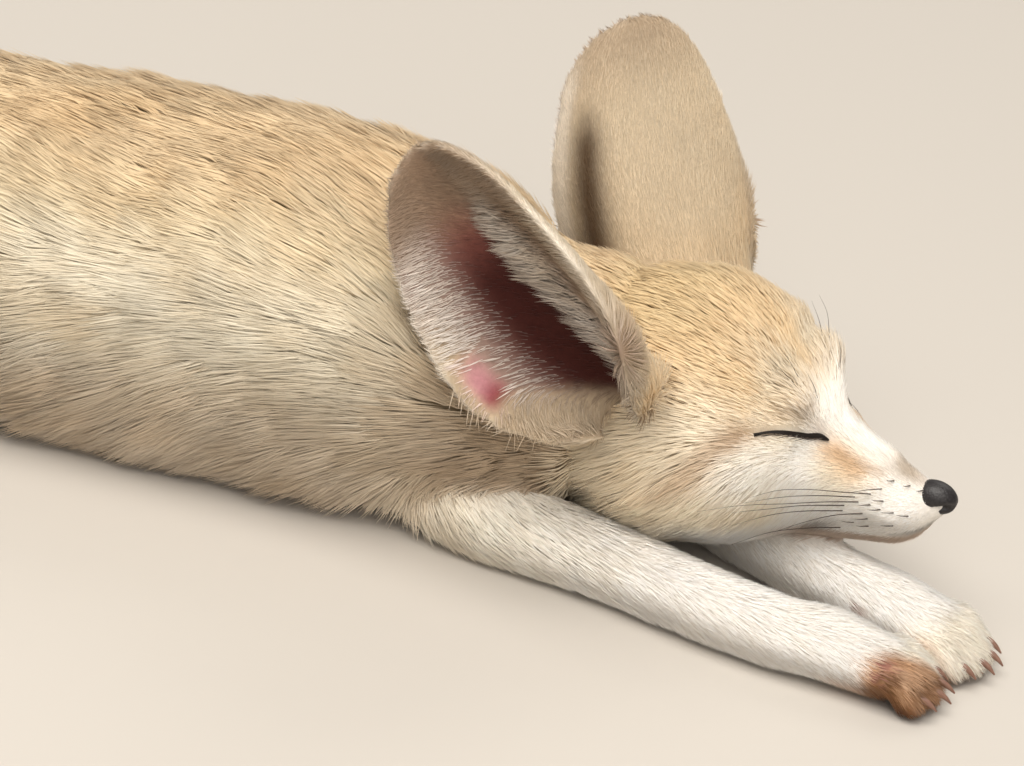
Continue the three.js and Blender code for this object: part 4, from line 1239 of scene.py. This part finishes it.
def on_skin(at, towards):
    """The place where a ray from outside meets the skin."""
    start = np.asarray(at, float) + towards * 15
    hit, _, _, _ = hide_tree_of_faces.ray_cast(Vector(start), Vector(-towards))
    if hit is None:
        hit, _, _, _ = hide_tree_of_faces.find_nearest(Vector(np.asarray(at, float)))
    return np.array(hit)


# Bare dark skin of the lids, mottled finer than a millimetre, with a faint moist shine.
margin = two_tone(
    "dark_lid_margin", roughness=0.5, specular=0.3, kind="ShaderNodeTexNoise", values={"Scale": 1400.0},
    output="Fac", codes=("#0B0807", "#241A15"),
)
LID_PROFILE = [(0, 0.15), (0.12, 0.4), (0.3, 0.6), (0.55, 0.85), (0.85, 0.95), (0.95, 0.6), (1, 0.2)]
LID_FULL_FROM, LID_SWELL, LID_SEAM, LID_LIFT = 0.7, 0.7, 0.25, 0.5
LID_STANDS = {-1: 1.0, 1: 0.4}
ROWS_ALONG, ROWS_ACROSS = 48, 8
for side_name, sign in (("right", -1), ("left", 1)):
    mirror = np.array((1, sign, 1))
    view_out = HEAD_PLACE[:3, :3] @ (SEEN_FROM * (1, -sign, 1))
    slit = along_curve(np.array(SLIT_POINTS) * mirror, np.linspace(0, 1, ROWS_ALONG))
    half = smooth_ramp(np.linspace(0, 1, ROWS_ALONG), LID_PROFILE)
    grid = []
    for at, h in zip(slit, half):
        fullness = min(1.0, h / LID_FULL_FROM)
        for j in range(ROWS_ACROSS + 1):
            s = j / ROWS_ACROSS * 2 - 1
            place = on_skin(from_head([at + np.array((0, 0, s * h))])[0], view_out)
            seam = LID_SEAM * math.exp(-((s / 0.25) ** 2))
            swell = fullness * (LID_SWELL * math.sqrt(1 - s * s) - seam) + LID_LIFT
            grid.append(place + view_out * swell * LID_STANDS[sign])
    grid = np.array(grid)
    deselect()
    bpy.ops.mesh.primitive_grid_add(x_subdivisions=ROWS_ACROSS, y_subdivisions=ROWS_ALONG - 1, size=2)
    lid = bpy.context.object
    lid.name = f"lid_margins_{side_name}"
    flat_grid = coordinates(lid)
    column = np.rint((flat_grid[:, 0] + 1) / 2 * ROWS_ACROSS).astype(int)
    row = np.rint((flat_grid[:, 1] + 1) / 2 * (ROWS_ALONG - 1)).astype(int)
    lid.data.vertices.foreach_set("co", metres(grid[row * (ROWS_ACROSS + 1) + column]).ravel())
    if sign < 0:
        lid.data.flip_normals()
    wall = lid.modifiers.new("wall", "SOLIDIFY")
    wall.thickness = 0.0006
    wall.offset = -1
    apply_modifiers(lid)
    bpy.ops.object.shade_smooth()
    lid.data.materials.append(margin)
    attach(lid, "root")
    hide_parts(f"eye_{side_name}_closed_lids")

# Whiskers, brow hairs and lashes
# Single stiff hairs, dark and tapering. The whiskers sweep back from the pad over the cheek, short ones stand
# in rows before them, and a few long ones rise from the brow. Each path lists places in the head's frame.
WHISKERS = [
    [(-21, 9.2, -0.4), (-25.3, 13.5, 0.8), (-32.8, 23, 4.2), (-38.6, 31, 6.2), (-44, 38.5, 6)],
    [(-23.5, 10.6, -3), (-29.4, 17, -1.6), (-36.7, 28, 1.2), (-45.5, 39, 3.5), (-54, 47, 3)],
    [(-26.6, 12, -4.4), (-34.4, 22, -1.8), (-39.8, 31, 0.2), (-47, 40, 1.4)],
    [(-26.8, 12, -6.1), (-34.1, 22, -3.4), (-39.8, 30.5, -2), (-47, 38.5, -3.4)],
    [(-22, 10, -6.4), (-27, 15.5, -5.6), (-33, 22, -6.4), (-38, 27, -8)],
    [(-26.9, 10.8, -11.9), (-32.4, 18.5, -9.8), (-39.9, 27.5, -8.9), (-47, 35, -11)],
    [(-18.5, 8.6, 1.6), (-21.5, 11.2, 1.6), (-24.5, 13.4, 1)],
    [(-24.5, 11, -1.6), (-32, 20, 1), (-38, 28.5, 3), (-46, 38, 3.4)],
]
FOLLICLES = [
    (-16.4, 6.1, 3.5), (-12.3, 4.8, 2.7), (-8.9, 3.8, 1.9), (-17.6, 8.9, -1.5), (-14.4, 8.9, -4),
    (-17.8, 9.4, -4), (-10.7, 7.9, -4.2), (-20.2, 9.2, -10), (-20.6, 9.8, -7.6), (-23.9, 10.4, -9.4),
    (-14, 8.6, -8), (-20.5, 9.6, -3.4),
]
BROW_HAIRS = [
    [(-42.2, 9.2, 24.5), (-44, 12, 29), (-46, 14, 33.5), (-49, 15, 37)],
    [(-38.6, 8, 21.5), (-39.6, 10, 26), (-42, 11.5, 30.5)],
    [(-44.5, 11, 25.5), (-47.5, 14, 30), (-51, 16, 34)],
]
BRIDGE_ABOVE = 1
LASHES = 11
FAR_WHISKERS_SAG = 11
HAIR_SINKS, HAIR_TAPER, HAIR_STEPS = 0.8, 0.8, 60
# Stiff keratin, smooth and nearly black, browner in stretches of about 17 mm.
whisker_hair = two_tone(
    "stiff_whisker_keratin", roughness=0.35, specular=0.45, kind="ShaderNodeTexNoise", values={"Scale": 60.0},
    output="Fac", codes=("#1E1713", "#4A3A2E"),
)


def stiff_hair(name, path, thick, rows=14):
    """A tapering hair along a path in the head's frame, sunk a little into the skin at its root."""
    path = np.array(path, float)
    path[0] = path[0] + (path[0] - path[1]) / np.linalg.norm(path[0] - path[1]) * HAIR_SINKS
    stations = [(*p, thick / 2, thick / 2, thick / 2) for p in from_head(path)]
    hair = Form(name, stations, caps=(0.2, 0.6))
    made = pressed(hair, 6, rows)
    co = coordinates(made) * 1000 + MIDDLE
    line = along_curve(hair.centres, np.linspace(0, 1, HAIR_STEPS))
    nearest = np.array([np.argmin(np.sum((line - at) ** 2, axis=1)) for at in co])
    share_along = nearest / (HAIR_STEPS - 1)
    co = line[nearest] + (co - line[nearest]) * (1 - HAIR_TAPER * share_along)[:, None]
    made.data.vertices.foreach_set("co", metres(co).ravel())
    return made


def bowed_hair(name, at, way, bow, mirror, thick):
    """A short hair from a place, bowed once on its way."""
    back = at + np.array(way)
    return stiff_hair(name, np.array([at, (at + back) / 2 + bow, back]) * mirror, thick, 6)


hairs = []
for sign in (-1, 1):
    mirror = np.array((1, sign, 1))
    for k, path in enumerate(WHISKERS):
        path = np.array(path) * mirror
        if sign > 0:
            path[:, 2] -= np.linspace(0, FAR_WHISKERS_SAG, len(path))
        hairs.append(stiff_hair(f"whisker_{k}_{sign}", path, 0.34))
    for k, path in enumerate(BROW_HAIRS):
        hairs.append(stiff_hair(f"brow_hair_{k}_{sign}", np.array(path) * mirror, 0.22))
    for k, at in enumerate(FOLLICLES):
        on_bridge = at[2] > BRIDGE_ABOVE
        if on_bridge and sign > 0:
            continue
        way = np.array((-2.0, 0.9 + 0.3 * (k % 3), 0.1)) * (0.5 if on_bridge else 1.0)
        hairs.append(bowed_hair(f"pad_hair_{k}_{sign}", np.array(at), way, (0, 0.2, 0), mirror, 0.36))
    if sign > 0:
        continue
    for k in range(LASHES):
        s = 0.12 + 0.7 * k / (LASHES - 1)
        at = along_curve(SLIT_POINTS, np.array([s]))[0] + np.array((0.4, 0.9, -0.2))
        way = (-2.4, 1.2, -0.6 - 0.5 * math.sin(k * 2.1))
        hairs.append(bowed_hair(f"lash_{k}_{sign}", at, way, (0, 0.3, 0.2), mirror, 0.28))
whiskers = join(hairs, "whiskers_and_lashes")
bpy.ops.object.shade_smooth()
whiskers.data.materials.append(whisker_hair)
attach(whiskers, "root")

# Claws
# Slender curved claws of brown horn, one from the end of each of the sixteen toes.
CLAW_LONG, CLAW_THICK, CLAW_DROP = 5.4, 2.2, 2.8
# Smooth horn, clouded every two millimetres.
horn = two_tone(
    "claw_horn", roughness=0.38, specular=0.45, kind="ShaderNodeTexNoise",
    values={"Scale": 500.0, "Detail": 2.0}, output="Fac", codes=("#6B4A3E", "#9A7664"),
)
claw_pieces = []
for paw_name, seats in claw_seats.items():
    for k, (seat, way, side) in enumerate(seats):
        arc = []
        for s in (0.0, 0.35, 0.7, 1.0):
            at = seat + way * (1.5 + CLAW_LONG * s) + np.array((0, 0, 1.6 + 0.8 * s - CLAW_DROP * s * s))
            half = CLAW_THICK / 2 * (1 - 0.75 * s * s)
            arc.append((at[0], at[1], max(at[2], 1.2), half * 0.8, half, half))
        claw_pieces.append(pressed(Form(f"claw_{paw_name}_{k}", arc, caps=(1, 0.3)), 10, 10))
claws = join(claw_pieces, "claws")
bpy.ops.object.shade_smooth()
claws.data.materials.append(horn)
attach(claws, "root")

# Floor and light
# A plain pale floor, a broad lamp overhead, and weak ones in front and behind. None of it is the animal's.
deselect()
bpy.ops.mesh.primitive_plane_add(size=8, location=(0, 0, 0))
floor = bpy.context.object
floor.name = "floor"
paper, _, paper_shader = new_material("pale_paper", roughness=0.9)
paper_shader.inputs["Base Color"].default_value = (*linear("#C8C2BA"), 1)
floor.data.materials.append(paper)
LAMPS = (
    ("overhead", (-0.2, -0.5, 1.6), 1.4, 32.5), ("front", (0.3, -1.4, 1.0), 1.2, 8.5),
    ("behind", (0.5, 1.1, 1.2), 0.8, 5),
)
LIT_PLACE = Vector((0, 0, 0.05))
for name, at, size, power in LAMPS:
    lamp = bpy.data.lights.new(name, "AREA")
    lamp.size = size
    lamp.energy = power
    lamp.color = linear("#FFFAF3")
    lamp_object = bpy.data.objects.new(name, lamp)
    lamp_object.location = at
    lamp_object.rotation_euler = (LIT_PLACE - Vector(at)).to_track_quat("-Z", "Y").to_euler()
    bpy.context.scene.collection.objects.link(lamp_object)
world = bpy.data.worlds.new("soft_room")
bpy.context.scene.world = world
world.use_nodes = True
room = world.node_tree.nodes["Background"]
room.inputs["Color"].default_value = (*linear("#FFFBF5"), 1)
room.inputs["Strength"].default_value = 0.33
bpy.context.scene.view_settings.view_transform = "Standard"
